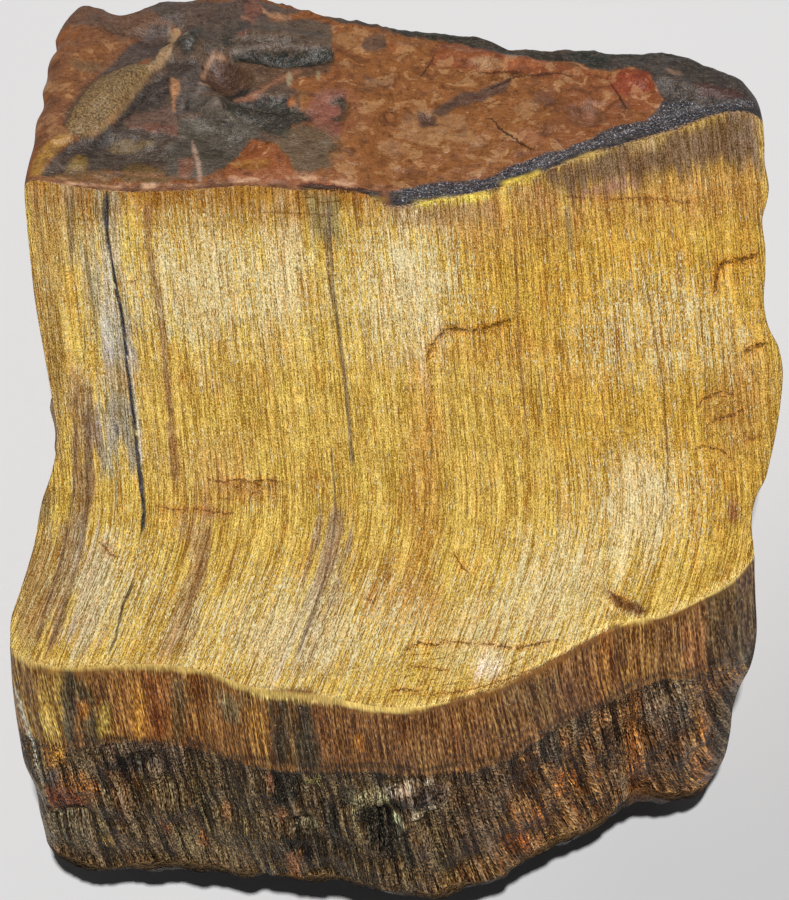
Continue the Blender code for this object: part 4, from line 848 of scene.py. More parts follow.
CRACKS = (
    (((425, 364), (432, 346), (440, 335), (448, 329), (470, 331), (490, 328), (518, 317)), 0.15, 0.75),
    (((206, 480), (222, 482), (238, 479), (252, 482), (266, 479), (287, 484)), 0.08, 0.7),
    (((238, 488), (252, 492), (266, 490)), 0.07, 0.6),
    (((149, 504), (170, 509), (196, 508), (215, 512), (242, 514)), 0.07, 0.6),
    (((398, 656), (407, 650), (418, 643), (434, 644), (445, 641), (470, 643), (495, 646), (515, 649),
     (540, 644), (562, 640)), 0.08, 0.75),
    (((384, 692), (400, 690), (416, 692), (430, 690)), 0.09, 0.8),
    (((404, 664), (412, 666), (430, 668), (444, 670), (456, 668)), 0.08, 0.7),
    (((466, 647), (474, 649)), 0.1, 0.8),
    (((682, 512), (694, 513), (706, 518)), 0.08, 0.6),
    (((602, 588), (612, 594), (624, 603), (638, 614)), 0.14, 0.85),
    (((96, 536), (104, 547), (112, 556), (126, 557)), 0.1, 0.75),
    (((446, 548), (456, 556), (462, 566), (474, 577)), 0.08, 0.8),
    (((380, 571), (386, 578), (392, 590)), 0.08, 0.65),
    (((357, 596), (368, 600), (382, 607)), 0.12, 0.55),
    (((122, 284), (134, 281), (146, 278)), 0.1, 0.75),
    (((714, 302), (717, 276), (723, 262), (745, 259), (765, 247)), 0.16, 0.8),
    (((738, 358), (752, 348), (774, 340)), 0.16, 0.8),
    (((80, 375), (88, 378)), 0.08, 0.7),
    (((692, 412), (706, 398), (722, 392), (742, 396)), 0.1, 0.65),
    (((700, 432), (716, 420), (736, 414), (756, 402)), 0.1, 0.65),
    (((688, 452), (704, 446), (722, 450), (734, 462)), 0.1, 0.6),
    (((738, 430), (752, 440), (766, 434)), 0.1, 0.6),
    (((686, 470), (700, 486), (712, 500)), 0.08, 0.5),
    (((135, 247), (141, 249)), 0.2, 0.9),
    (((560, 196), (600, 200), (650, 198), (700, 204)), 0.08, 0.45),
    (((250, 212), (300, 214), (340, 216)), 0.06, 0.35),
    (((420, 696), (470, 690), (505, 680), (540, 666)), 0.08, 0.6),
    (((482, 118), (492, 120), (500, 130), (515, 140), (530, 150), (541, 152)), 0.07, 0.85),
    (((417, 84), (430, 65), (438, 50)), 0.07, 0.7),
    (((480, 93), (500, 86), (512, 80), (540, 78), (560, 76), (580, 80)), 0.07, 0.7),
    (((606, 78), (616, 92), (626, 108), (632, 112)), 0.06, 0.7),
    (((295, 184), (330, 188), (350, 191), (376, 192)), 0.22, 0.9),
    (((470, 70), (500, 73), (530, 76)), 0.06, 0.6),
    (((52, 813), (66, 815), (80, 812)), 0.1, 0.8),
)


def curve(points):
    """A function that follows the points smoothly and stays level past its ends."""
    at, value = np.array(points, float).T
    slope = np.gradient(value, at)

    def follow(x):
        i = np.clip(np.searchsorted(at, x) - 1, 0, len(at) - 2)
        gap = at[i + 1] - at[i]
        t = np.clip((x - at[i]) / gap, 0.0, 1.0)
        level = value[i] * (1 - t) ** 2 * (1 + 2 * t) + value[i + 1] * t**2 * (3 - 2 * t)
        return level + gap * t * (1 - t) * (slope[i] * (1 - t) - slope[i + 1] * t)

    return follow


def ramp(x):
    """0 below 0, 1 above 1, and a smooth step between."""
    x = np.clip(x, 0.0, 1.0)
    return x * x * (3 - 2 * x)


left_side, right_side = curve(LEFT_SIDE), curve(RIGHT_SIDE)
sole_front, sole_back = curve(SOLE_FRONT), curve(SOLE_BACK)


def fibre_x(u, v):
    """x at height v of the fibre that starts at share u of the width."""
    swing = SHEAR * np.sin(np.pi * u) * ramp((SHEAR_TOP - v) / SHEAR_LENGTH)
    return left_side(v) + (right_side(v) - left_side(v)) * (u - swing)


def edge_height(edge, u):
    """v at which each fibre meets an edge that crosses the front."""
    follow = curve(edge)
    v = follow(WIDTH * (u - 0.5))
    for _ in range(8):
        v = follow(fibre_x(u, v))
    return v


def face_depth(x, v, brow):
    """w of the golden face: two flats that meet in a soft hollow, rolling back at the brow."""
    below = BEND_V - v
    soft = np.sqrt(below**2 + BEND_RADIUS**2) - BEND_RADIUS
    w = BEND_W + (LOWER_SLOPE + UPPER_SLOPE) / 2 * soft + (LOWER_SLOPE - UPPER_SLOPE) / 2 * below
    w = w - BROW_ROLL * ramp(1.0 - (brow - v) / BROW_ROLL_REACH)
    return w - CORNER_DROP * ramp((x - 4.0) / 32.0) * ramp((v - 16.0) / 18.0)


def falls(start_w, distance, tilt_deg):
    """w after going a distance down a slope."""
    return start_w - distance * np.tan(np.radians(tilt_deg))


def front(u, shares):
    """x, v, w of the rows of the cap, bevel, face and band, for fibres u and each span's row shares."""
    rim, cap_edge, brow = (edge_height(edge, u) for edge in (RIM, CAP_EDGE, BROW))
    crease, foot = edge_height(CREASE, u), edge_height(FOOT, u)
    brow_w = face_depth(fibre_x(u, brow), brow, brow)
    bevel_w = falls(brow_w, cap_edge - brow, BEVEL_TILT_DEG)
    crease_w = face_depth(fibre_x(u, crease), crease, brow)

    t = shares["cap"]
    cap_v = rim + (cap_edge - rim) * t
    cap_w = falls(bevel_w, cap_v - cap_edge, CAP_TILT_DEG)
    cap_w = cap_w + CAP_CROWN * (rim - cap_edge) * np.sin(np.pi * t)
    t = shares["bevel"]
    bevel_v = cap_edge + (brow - cap_edge) * t
    bevel_w = bevel_w + (brow_w - bevel_w) * t
    face_v = brow + (crease - brow) * shares["face"]
    face_w = face_depth(fibre_x(u, face_v), face_v, brow)
    t = shares["band"]
    band_v = crease + (foot - crease) * t
    band_w = falls(crease_w, crease - band_v, BAND_TILT_DEG)
    band_w = band_w + BAND_CROWN * (crease - foot) * np.sin(np.pi * t)

    v = np.concatenate([cap_v, bevel_v, face_v, band_v], axis=1)
    w = np.concatenate([cap_w, bevel_w, face_w, band_w], axis=1)
    return np.stack([fibre_x(u, v), v, w], -1)


def on_bench(points):
    """From the face's own x, v, w to x, y, z with the stone at rest on its sole."""
    lean = np.radians(LEAN_DEG)
    x, v, w = np.moveaxis(points, -1, 0)
    y = v * np.cos(lean) - w * np.sin(lean)
    z = v * np.sin(lean) + w * np.cos(lean) + FACE_HEIGHT
    return np.stack([x, y, z], -1)


def between(start, end, shares, swell=0.0):
    """Rows from one line of points to another, swelling out along y between them."""
    t = shares[..., None]
    out = np.array([0.0, swell, 0.0])
    return start + (end - start) * t + out * np.sin(np.pi * t)


def row_shares():
    """How far along its span each row lies."""
    return {name: np.arange(count)[None, :] / count for name, count in SPANS.items()}


def skin(u):
    """The stone before its relief, by column and row: the front's x, v, w, and all rows on the bench."""
    shares = row_shares()
    foot_shares = {**shares, "band": np.ones((1, 1))}
    face_frame = front(u, shares)
    foot = on_bench(front(u, foot_shares)[:, -1:])
    above = on_bench(face_frame)
    rim = above[:, :1]
    x = SOLE_LEFT + (SOLE_RIGHT - SOLE_LEFT) * u
    sole_start = np.stack([x, sole_front(x), 0.0 * x], -1)
    sole_end = np.stack([x, sole_back(x), 0.0 * x], -1)
    undercut = between(foot, sole_start, shares["undercut"], -UNDERCUT_SWELL)
    sole = between(sole_start, sole_end, shares["sole"])
    back = between(sole_end, rim, shares["back"], BACK_SWELL)
    return face_frame, np.concatenate([above, undercut, sole, back], axis=1)


def outward(points):
    """Unit normals of a grid of points whose rows close on themselves."""
    along = np.gradient(points, axis=0)
    around = np.roll(points, -1, axis=1) - np.roll(points, 1, axis=1)
    normal = np.cross(around, along)
    return normal / np.linalg.norm(normal, axis=-1, keepdims=True)


def lumps(points, size, seed):
    """Smooth noise from about -1 to 1 at each point, in lumps about as wide as size."""
    spots = (points.reshape(-1, 3) / size + 13.7 * seed).tolist()
    return 1.6 * np.array([noise.noise(spot) for spot in spots]).reshape(points.shape[:-1])


def broken(points):
    """The relief of a broken surface from about -1 to 1: flats that meet in ridges, with lumps on them."""
    ridges = 0.5 - np.abs(lumps(points, COARSE, 1))
    return ridges + 0.35 * lumps(points, MEDIUM, 2) + 0.25 * lumps(points, FINE, 3)


def strands(u, v):
    """Bundles of fibres from about -1 to 1, side by side across the stone."""
    return lumps(np.stack(np.broadcast_arrays(WIDTH * u / STRAND_WIDTH, v / STRAND_LENGTH, 0.5), -1), 1.0, 4)


def oval(x, v, middle, long, wide, turn_deg):
    """1 at the middle of an oval on the front, falling smoothly to 0 at its edge."""
    turn = np.radians(turn_deg)
    dx, dv = x - middle[0], v - middle[1]
    along = dx * np.cos(turn) + dv * np.sin(turn)
    across = dv * np.cos(turn) - dx * np.sin(turn)
    return ramp(1.0 - np.hypot(along / long, across / wide))


def scar_depth(x, v, edge, depth, fade):
    """How far a scar is sunk: sharp at its upper edge, running out below it and at both ends."""
    upper = np.interp(x, *np.array(edge).T)
    inside = ramp((x - edge[0][0]) / SCAR_SIDE) * ramp((edge[-1][0] - x) / SCAR_SIDE)
    return depth * inside * (v < upper) * ramp(1.0 - (upper - v) / fade)


def front_relief(face_frame):
    """Height of the named lumps, hollows and scars over the front."""
    x, v = face_frame[..., 0], face_frame[..., 1]
    height = np.zeros_like(x)
    for middle, long, wide, turn_deg, rise in CAP_LUMPS + FACE_LUMPS + BAND_LUMPS:
        height += rise * oval(x, v, middle, long, wide, turn_deg)
    for edge, depth, fade in SCARS:
        height -= scar_depth(x, v, edge, depth, fade)
    return height


def row_of(span):
    """The first row of a span."""
    names = list(SPANS)
    return sum(SPANS[name] for name in names[: names.index(span)])


def rows_of(span):
    """All rows of a span."""
    return slice(row_of(span), row_of(span) + SPANS[span])


def roughness():
    """How rough each row is: from one span's start value to the next, and swelling over the back."""
    names = list(SPANS)
    rows = []
    for name, following in zip(names, names[1:] + names[:1]):
        t = np.arange(SPANS[name]) / SPANS[name]
        rows.append(ROUGHNESS[name] + (ROUGHNESS[following] - ROUGHNESS[name]) * t)
    rows[names.index("sole")] *= 0.0
    rows[names.index("back")] += BACK_ROUGHNESS * np.sin(np.pi * t)
    return np.concatenate(rows)


# -- fine relief ------------------------------------------------------------------------------------------


def ridged(field):
    """Turns smooth noise into sharp ridges between rounded hollows, from about -1 to 1."""
    return 1.0 - 2.0 * np.abs(field)


def across_fibres(x, v, crease):
    """Where a point lies across the fibres, which lean one way on the face and the other on the band."""
    steps = np.arange(LEAN_TOP, -LEAN_TOP, -LEAN_STEP)
    lean = np.interp(-steps, [-at for at, _ in FACE_LEAN], [slope for _, slope in FACE_LEAN])
    moved = np.interp(-np.maximum(v, crease), -steps, np.cumsum(lean) * LEAN_STEP)
    below = np.maximum(crease - v, 0.0)
    return x - moved - BAND_LEAN * below - BAND_BOW * below**2


def fibre_noise(across, v, width, length, seed):
    """Noise drawn out along the fibres: about width across and length along, in millimetres."""
    spots = np.stack(np.broadcast_arrays(across / width, v / length, 0.3 + seed), -1)
    return lumps(spots, 1.0, seed)


def terraces(field, steps):
    """Noise cut into flat steps with short slopes between, as fibres break off level by level."""
    level = field * steps
    base = np.floor(level)
    return (base + ramp((level - base) / LEVEL_SLOPE)) / steps


def below_inner(x, v):
    """How far a point of the band lies below the line where its smooth upper part ends."""
    return curve(BAND_INNER)(x) - v


def cap_relief(places, rock, around):
    """The patches of the cap that stand out, and the grain over them."""
    height = CAP_RISE * patch_relief(places, rock, CAP_PATCHES)
    for rise, size, seed in CAP_GRAIN:
        height += rise * ridged(lumps(around, size, seed))
    return height


def fibre_relief(across, v, rises):
    """Flakes, bundles and threads of fibres, each kind this high."""
    flake, bundle, thread = rises
    height = flake * terraces(fibre_noise(across, v, *FLAKES), FLAKE_STEPS)
    height += bundle * ridged(fibre_noise(across, v, *BUNDLES))
    return height + thread * fibre_noise(across, v, *THREADS)


def dark_relief(x, v, places, rock, around):
    """The dark zone lies sunk, and is broken into ledges, crumbs and pits."""
    height = LEDGE_RISE * terraces(lumps(around, *LEDGES), LEDGE_STEPS) + CRUMB_RISE * lumps(around, *CRUMBS)
    height += patch_relief(places, rock, DARK_PATCHES, DARK_STRETCH) - DARK_SUNK
    return height * ramp(below_inner(x, v) / DARK_SOFT)


def fine_relief(u, frame_points, points):
    """Height of everything on the front too fine for the CAD solid."""
    x, v = frame_points[..., 0], frame_points[..., 1]
    crease = edge_height(CREASE, u)
    across = across_fibres(x, v, crease)
    places, rock = picture_place(frame_points), stone_wobble(points[:, : x.shape[1]])
    cap, face, band = rows_of("cap"), rows_of("face"), rows_of("band")
    height = np.zeros_like(x)
    height[:, cap] = cap_relief(places[:, cap], rock[:, cap], points[:, cap])
    height[:, face] = fibre_relief(across[:, face], v[:, face], FACE_RISES)
    height[:, band] = fibre_relief(across[:, band], v[:, band], BAND_RISES)
    height *= ramp(np.abs(v - crease) / CREASE_CALM)
    height[:, band] += dark_relief(x[:, band], v[:, band], places[:, band], rock[:, band], points[:, band])
    return height


# -- the mesh ---------------------------------------------------------------------------------------------


def column_shares():
    """Where each column starts across the fibres, as a share of the width."""
    return (np.arange(COLUMNS) / (COLUMNS - 1))[:, None]


def side_relief(points):
    """Ledges and crumbs of the undercut and the back, and nothing elsewhere."""
    rows = np.zeros(points.shape[1])
    rows[row_of("undercut") : row_of("sole")] = BACK_GRAIN
    rows[row_of("back") + 2 :] = BACK_GRAIN
    crumbs = BACK_CRUMB_SHARE * lumps(points, *BACK_CRUMBS)
    return rows * (terraces(lumps(points, *BACK_LEDGES), BACK_STEPS) + crumbs)


def relief(u, frame_points, points):
    """How far each point of the stone is raised."""
    fronts = frame_points.shape[1]
    fibrous = slice(row_of("face") + 1, row_of("undercut"))
    cap = rows_of("cap")
    height = roughness() * broken(points)
    height[:, :fronts] += front_relief(frame_points) + fine_relief(u, frame_points, points)
    height[:, fibrous] += STRAND_RISE * strands(u, frame_points[:, fibrous, 1])
    cap_length = np.linalg.norm(points[:, :1] - points[:, cap.stop : cap.stop + 1], axis=-1)
    height[:, cap] *= ramp(cap_length / CAP_NARROW)
    return height + side_relief(points)


def body_points():
    """All columns of the stone with their relief, and the front's own x, v, w."""
    u = column_shares()
    frame_points, points = skin(u)
    from_end = WIDTH * np.minimum(u, 1.0 - u)
    height = relief(u, frame_points, points) * ramp(from_end / END_CALM)
    raised = points + outward(points) * height[..., None]
    middle = np.mean(END_LINE, axis=0)
    raised[..., 1:] += (middle - raised[..., 1:]) * EDGE_ROLL * np.exp(-from_end / EDGE_ROLL_REACH)[..., None]
    raised[..., 2] = np.maximum(raised[..., 2], CLEARANCE)
    sole = slice(row_of("sole"), row_of("back") + 1)
    raised[:, sole] = points[:, sole]
    raised[:, sole, 0] += SOLE_WOBBLE * lumps(points[:, sole], MEDIUM, 5)
    raised[:, sole, 1] += SOLE_WOBBLE * lumps(points[:, sole], MEDIUM, 6)
    return raised, frame_points


def end_x(points, side):
    """x of the broken flat of one end, over the points' y and z."""
    foot, flat = END_FOOT[side > 0], END_FLAT[side > 0]
    over = points * (0.0, 1.0, 1.0) + (flat, 0.0, 0.0)
    upright = foot + (flat - foot) * (1.0 - np.exp(-points[:, 2] / END_TURN))
    return upright + side * END_ROUGHNESS * broken(over)


def end_rings(loop, side):
    """One end of the stone: rings from its rim inwards, the knots of its middle line, and each row's knot."""
    (near_y, near_z), (far_y, far_z) = END_LINE
    share = np.clip((loop[:, 1] - near_y) / (far_y - near_y), 0.0, 1.0)
    knot = np.rint(share * (END_KNOTS - 1)).astype(int)
    line = np.linspace((0.0, near_y, near_z), (0.0, far_y, far_z), END_KNOTS)
    line[:, 0] = end_x(line, side)
    rings = []
    for ring in range(1, END_RINGS + 1):
        t = ring / (END_RINGS + 1)
        points = loop + (line[knot] - loop) * t
        points[:, 0] = loop[:, 0] + (end_x(points, side) - loop[:, 0]) * ramp(t / END_BEVEL)
        rings.append(points)
    return rings, line, knot.tolist()


def end_faces(ring, first_knot, knot, side):
    """Faces from the last ring of an end, whose first point is given, to the knots of its middle line."""
    faces = []
    for row, here in enumerate(knot):
        above = (row + 1) % len(knot)
        there = knot[above]
        back = range(there, here, 1 if here > there else -1)
        face = [ring + row, ring + above, *(first_knot + k for k in (*back, here))]
        faces.append(face[:: int(side)])
    return faces


# -- colour painted on the vertices -----------------------------------------------------------------------


def rgb(red, green, blue):
    """A display colour, 0 to 255, as linear light."""
    c = np.array([red, green, blue], float) / 255.0
    return np.where(c <= 0.04045, c / 12.92, ((c + 0.055) / 1.055) ** 2.4)


def rgb3(red, green, blue):
    """The same colour as three plain numbers."""
    return tuple(float(c) for c in rgb(red, green, blue))


def plain(colour, like):
    """The same colour at every point of a grid."""
    return np.broadcast_to(rgb(*colour), like.shape + (3,)).copy()


def blend(tint, mask, colour):
    """Lays a colour over the tint where the mask is up to 1."""
    mask = np.clip(mask, 0.0, 1.0)[..., None]
    return tint * (1.0 - mask) + rgb(*colour) * mask


def picture_place(points):
    """Where the camera sees each point of the front, in pixels of the picture."""
    x, v, w = np.moveaxis(points, -1, 0)
    near = PICTURE_SCALE * CAMERA_DISTANCE / (CAMERA_DISTANCE - w)
    return np.stack([PICTURE_MIDDLE[0] + x * near, PICTURE_MIDDLE[1] - v * near], -1)


def to_path(places, path):
    """Signed distance of each place from a path, and the distances along it to its two ends."""
    path = np.array(path, float)
    nearest, signed = np.full(places.shape[:-1], np.inf), np.zeros(places.shape[:-1])
    gone, run = np.zeros(places.shape[:-1]), 0.0
    for a, b in zip(path, path[1:]):
        step = b - a
        length = np.hypot(*step)
        rel = places - a
        t = np.clip((rel @ step) / length**2, 0.0, 1.0)
        gap = np.linalg.norm(rel - t[..., None] * step, axis=-1)
        side = np.sign(step[0] * rel[..., 1] - step[1] * rel[..., 0])
        closer = gap < nearest
        nearest = np.where(closer, gap, nearest)
        signed = np.where(closer, gap * side, signed)
        gone = np.where(closer, run + t * length, gone)
        run += length
    return signed, gone, run - gone


def depth_inside(places, outline):
    """How far each place lies inside an outline, below 0 outside it."""
    signed, _, _ = to_path(places, np.concatenate([outline, outline[:1]]))
    inside = np.zeros(places.shape[:-1], bool)
    for a, b in zip(outline, np.roll(outline, -1, axis=0)):
        crosses = (a[1] > places[..., 1]) != (b[1] > places[..., 1])
        rise = b[1] - a[1] if b[1] != a[1] else 1.0
        inside ^= crosses & (places[..., 0] < a[0] + (places[..., 1] - a[1]) * (b[0] - a[0]) / rise)
    return np.abs(signed) * np.where(inside, 1.0, -1.0)


def patch_mask(places, wobble, patch, stretch=1.0):
    """1 inside a patch and 0 outside it, with a soft and ragged edge that stretches down the picture."""
    outline, _, strength, soft, rag, _ = patch
    squeeze = np.array([1.0, 1.0 / stretch])
    outline = np.array(outline, float) * squeeze
    squeezed = places * squeeze
    low, high = outline.min(axis=0) - soft - rag, outline.max(axis=0) + soft + rag
    near = ((squeezed > low) & (squeezed < high)).all(axis=-1)
    mask = np.zeros(places.shape[:-1])
    mask[near] = strength * ramp(0.5 + (depth_inside(squeezed[near], outline) + rag * wobble[near]) / soft)
    return mask


def lay_patches(tint, places, wobble, patches, stretch=1.0):
    """Paints patches in turn."""
    for patch in patches:
        tint = blend(tint, patch_mask(places, wobble, patch, stretch), patch[1])
    return tint


def patch_relief(places, wobble, patches, stretch=1.0):
    """The height of every patch that stands out or is sunk."""
    height = np.zeros(places.shape[:-1])
    for patch in patches:
        if patch[-1]:
            height += patch[-1] * patch_mask(places, wobble, patch, stretch)
    return height


def lay_lines(tint, places, wobble, lines):
    """Paints lines in turn."""
    for path, half_width, soft, rag, strength, colour in lines:
        offset, gone, left = to_path(places, path)
        inside = ramp(gone / PIXEL_TAPER) * ramp(left / PIXEL_TAPER)
        mask = ramp(0.5 + (half_width - np.abs(offset) + rag * wobble) / soft)
        tint = blend(tint, strength * inside * mask, colour)
    return tint


def stone_wobble(points):
    """Noise that makes the edges of patches of rock ragged."""
    return sum(share * lumps(points, size, seed) for share, size, seed in ROCK_RAG)


def fibre_wobble(x, v, u):
    """Noise that makes the edges of patches run out along the fibres."""
    across = across_fibres(x, v, edge_height(CREASE, u))
    return sum(share * fibre_noise(across, v, *noise_size) for share, *noise_size in FIBRE_RAG)


def paint_cap(x, v, rim, places, wobble):
    """The wall rock: rust jasper with ochre, grey, cream and dark patches under a dark rim on the right."""
    tint = blend(plain(RUST, x), 0.6 * ramp(wobble * 1.4), RUST_PALE)
    tint = blend(tint, 0.6 * ramp(-wobble * 1.4 - 0.1), RUST_DEEP)
    tint = lay_patches(tint, places, wobble, CAP_PATCHES)
    near_rim = ramp(1.0 - (rim - v - 0.2 - 0.25 * wobble) / 0.3)
    return np.array(CAP_LIFT) * blend(tint, 0.85 * ramp((x + 7.0) / 5.0) * near_rim, CAP_RIM)


def paint_bevel(x, fine):
    """The narrow edge between wall and fibres: cream and brown on the left, then grey, then blue-black."""
    tint = blend(plain(BEVEL_BROWN, x), 0.4 * ramp((-8.0 - x) / 2.0) * ramp(0.4 + fine), BEVEL_CREAM)
    tint = blend(tint, ramp(x + 9.5) * ramp(-1.0 - x), BEVEL_GREY)
    return blend(tint, ramp(x + 1.0), BLACK_BLUE)


def paint_face(places, wobble):
    """The golden fibres, with their orange, olive, grey and mauve patches."""
    tint = plain(GOLD, places[..., 0])
    return np.array(FACE_LIFT) * lay_patches(tint, places, wobble, FACE_PATCHES, FACE_STRETCH)


def paint_band(x, v, foot, places, wobble):
    """The band: smooth red-brown fibres, then a rough dark zone, and a painted highlight on the rim at its
    foot.
    """
    tint = plain(BAND_BROWN, x)
    tint = np.array(BAND_LIFT) * lay_patches(tint, places, wobble, BAND_PATCHES, BAND_STRETCH)
    zone = blend(plain(BAND_DARK, x), 0.6 * ramp(0.3 + wobble), BAND_OLIVE)
    zone = np.array(DARK_LIFT) * lay_patches(zone, places, wobble, DARK_PATCHES, DARK_STRETCH)
    dark = ramp((below_inner(x, v) + 0.3 * wobble) / 0.4)[..., None]
    tint = lay_lines(tint * (1.0 - dark) + zone * dark, places, wobble, BAND_LINES)
    # Painted highlight along the rim of the foot.
    rim = np.exp(-(((v - foot - 0.15) / 0.3) ** 2))
    return blend(tint, 0.7 * rim * ramp(0.7 + wobble), FOOT_RIM_HIGHLIGHT)


def front_tint(u, frame_points, places, rock):
    """The colour of every point of the front."""
    x, v = frame_points[..., 0], frame_points[..., 1]
    fibrous = fibre_wobble(x, v, u)
    cap, bevel, face, band = (rows_of(span) for span in ("cap", "bevel", "face", "band"))
    foot = edge_height(FOOT, u)
    tint = np.concatenate([
        paint_cap(x[:, cap], v[:, cap], edge_height(RIM, u), places[:, cap], rock[:, cap]),
        paint_bevel(x[:, bevel], rock[:, bevel]),
        paint_face(places[:, face], fibrous[:, face]),
        paint_band(x[:, band], v[:, band], foot, places[:, band], fibrous[:, band]),
    ], axis=1)
    tint = lay_patches(tint, places, rock, EDGE_PATCHES)
    tint = lay_lines(tint, places, rock, SEAMS)
    return lay_lines(tint, places, fibrous, FOLDS)


def side_tint(points):
    """The colour of a broken side: the layers of the front, seen from where they were broken off, with
    painted shade on the undercut below the foot.
    """
    y = points[..., 1] + 3.0 * lumps(points, 9.0, 61) + 0.8 * lumps(points, 2.2, 62)
    wall = ramp((y - 24.0) / 3.0)
    tint = blend(plain(SIDE_GOLD, y), 0.7 * ramp(0.4 + lumps(points * (1.0, 0.12, 1.0), 1.6, 63)), SIDE_BROWN)
    tint = blend(tint, 0.6 * ramp(lumps(points, 6.0, 64) * 1.6 - 0.3), SIDE_OCHRE)
    tint = blend(tint, wall, RUST)
    tint = blend(tint, 0.7 * wall * ramp(lumps(points, 4.0, 65) * 2.0), SIDE_GREY)
    tint = blend(tint, ramp((-24.0 - y) / 3.0), BAND_BROWN)
    tint = blend(tint, ramp((-31.0 - y) / 3.0), BAND_DARK)
    # Painted shade on the undercut below the foot.
    tint = blend(tint, 0.7 * ramp((-30.0 - y) / 2.0), UNDERCUT_SHADE)
    crest = ramp((points[..., 0] + 6.0) / 8.0) * ramp((y - 20.0) / 4.0) * ramp((points[..., 2] - 24.0) / 8.0)
    return blend(tint, crest, CREST_GREY)


def side_zone(points):
    """How fibrous a broken side is: all of it except the wall rock behind."""
    y = points[..., 1] + 2.0 * lumps(points, 7.0, 66)
    return np.stack([ramp((26.0 - y) / 2.5), 0.0 * y, 0.0 * y], -1)


# -- the painted mesh -------------------------------------------------------------------------------------


def line_marks(places, marks):
    """Signed offset from the nearest line, its half width and its strength, at each place, and its colour."""
    found = np.zeros(places.shape[:-1] + (3,))
    ink = np.zeros_like(found)
    found[..., 0] = NO_LINE[0]
    for path, half_width, strength, *colour in marks:
        offset, gone, left = (value / PICTURE_SCALE for value in to_path(places, path))
        inside = ramp(gone / TAPER) * ramp(left / TAPER)
        nearer = ((np.abs(offset) < np.abs(found[..., 0])) & (inside > 0.0))[..., None]
        width = half_width * (TAPER_WIDTH + (1.0 - TAPER_WIDTH) * inside)
        found = np.where(nearer, np.stack([offset, width, strength * inside], -1), found)
        if colour:
            ink = np.where(nearer, rgb(*colour[0]), ink)
    return found, ink


def front_flow(points):
    """Unit vectors across the fibres at every point of the front."""
    across = np.gradient(points, axis=0)
    return across / np.linalg.norm(across, axis=-1, keepdims=True)


def front_zone(x, v, crease, places, rock, tint):
    """Three numbers for each point: on the wall how much it is jasper, ochre leaf and glittering edge, and
    elsewhere how far it lies below the smooth upper band and above the crease, and how strongly painted
    glints gather there."""
    # How deep each point lies in the spots of painted sheen.
    painted_sheen = np.max([depth_inside(places, outline) for outline in PAINTED_SHEEN_SPOTS], axis=0)
    zone = np.stack([below_inner(x, v), v - crease, ramp(0.5 + painted_sheen / PAINTED_SHEEN_SOFT)], -1)
    wall = slice(0, row_of("face"))
    jasper = ramp(tint[:, wall, 0] / tint[:, wall, 2] / 4.0 - 1.0)
    leaf, edge = (patch_mask(places[:, wall], rock[:, wall], patch) for patch in (LEAF, BLACK_EDGE))
    zone[:, wall] = np.stack([jasper, leaf, edge], -1)
    return zone


def front_values(body, frame_points):
    """What each vertex of the front keeps, by name."""
    u = column_shares()
    fronts = frame_points.shape[1]
    x, v = frame_points[..., 0], frame_points[..., 1]
    crease = edge_height(CREASE, u)
    places, rock = picture_place(frame_points), stone_wobble(skin(u)[1][:, :fronts])
    tint = front_tint(u, frame_points, places, rock)
    crack, _ = line_marks(places, CRACKS)
    streak, ink = line_marks(places, STREAKS)
    return {
        "tint": tint,
        "fibre": np.stack(np.broadcast_arrays(across_fibres(x, v, crease), v, 0.0), -1),
        "flow": front_flow(body[:, :fronts]),
        "crack": crack,
        "streak": streak,
        "ink": ink,
        "zone": front_zone(x, v, crease, places, rock, tint),
    }


def always(numbers):
    """A function that gives every point the same three numbers."""
    return lambda points: points * 0.0 + numbers


# What each vertex of the sides, the back, the sole and the ends keeps, from where it lies.
SIDE_VALUES = {
    "tint": side_tint,
    "fibre": np.array,
    "flow": always((1.0, 0.0, 0.0)),
    "crack": always(NO_LINE),
    "streak": always(NO_LINE),
    "ink": always((0.0, 0.0, 0.0)),
    "zone": side_zone,
}


def mesh_loops():
    """All loops of points along the stone, its two middle lines and their knots, and the vertices' values."""
    body, frame_points = body_points()
    left, left_line, left_knot = end_rings(body[0], -1.0)
    right, right_line, right_knot = end_rings(body[-1], 1.0)
    values = {}
    for name, front_grid in front_values(body, frame_points).items():
        fill = SIDE_VALUES[name]
        grid = np.concatenate([front_grid, fill(body[:, frame_points.shape[1] :])], axis=1)
        parts = [*map(fill, reversed(left)), *grid, *map(fill, right), fill(left_line), fill(right_line)]
        values[name] = np.concatenate(parts)
    return [*reversed(left), *body, *right], (left_line, right_line), (left_knot, right_knot), values


def material_row(row):
    """The number of the material on the faces above a row."""
    return sum(row >= row_of(span) for span in ("face", "band", "undercut"))


def unwrap(rows):
    """Where each column and each row lie on the flat map: the front takes most of it."""
    front_rows = row_of("undercut")
    v = np.concatenate([
        np.linspace(0.0, FRONT_SHARE_V, front_rows, endpoint=False),
        np.linspace(FRONT_SHARE_V, 1.0, rows + 1 - front_rows),
    ])
    edge = (1.0 - FRONT_SHARE_U) / 2
    u = np.concatenate([
        np.linspace(0.0, edge, END_RINGS + 1)[1:],
        np.linspace(edge, 1.0 - edge, COLUMNS + 1)[1:],
        np.linspace(1.0 - edge, 1.0, END_RINGS + 2)[1:-1],
    ])
    return u, v


def end_flat(face, rows, column, edge, at_u, at_v):
    """Where the corners of a face of an end's middle lie on the flat map."""
    on_ring = [corner // rows == column for corner in face]
    level = at_v[face[on_ring.index(True)] % rows]
    places = []
    for corner, ring in zip(face, on_ring):
        places.append((at_u[column], at_v[corner % rows]) if ring else (edge, level))
    return places


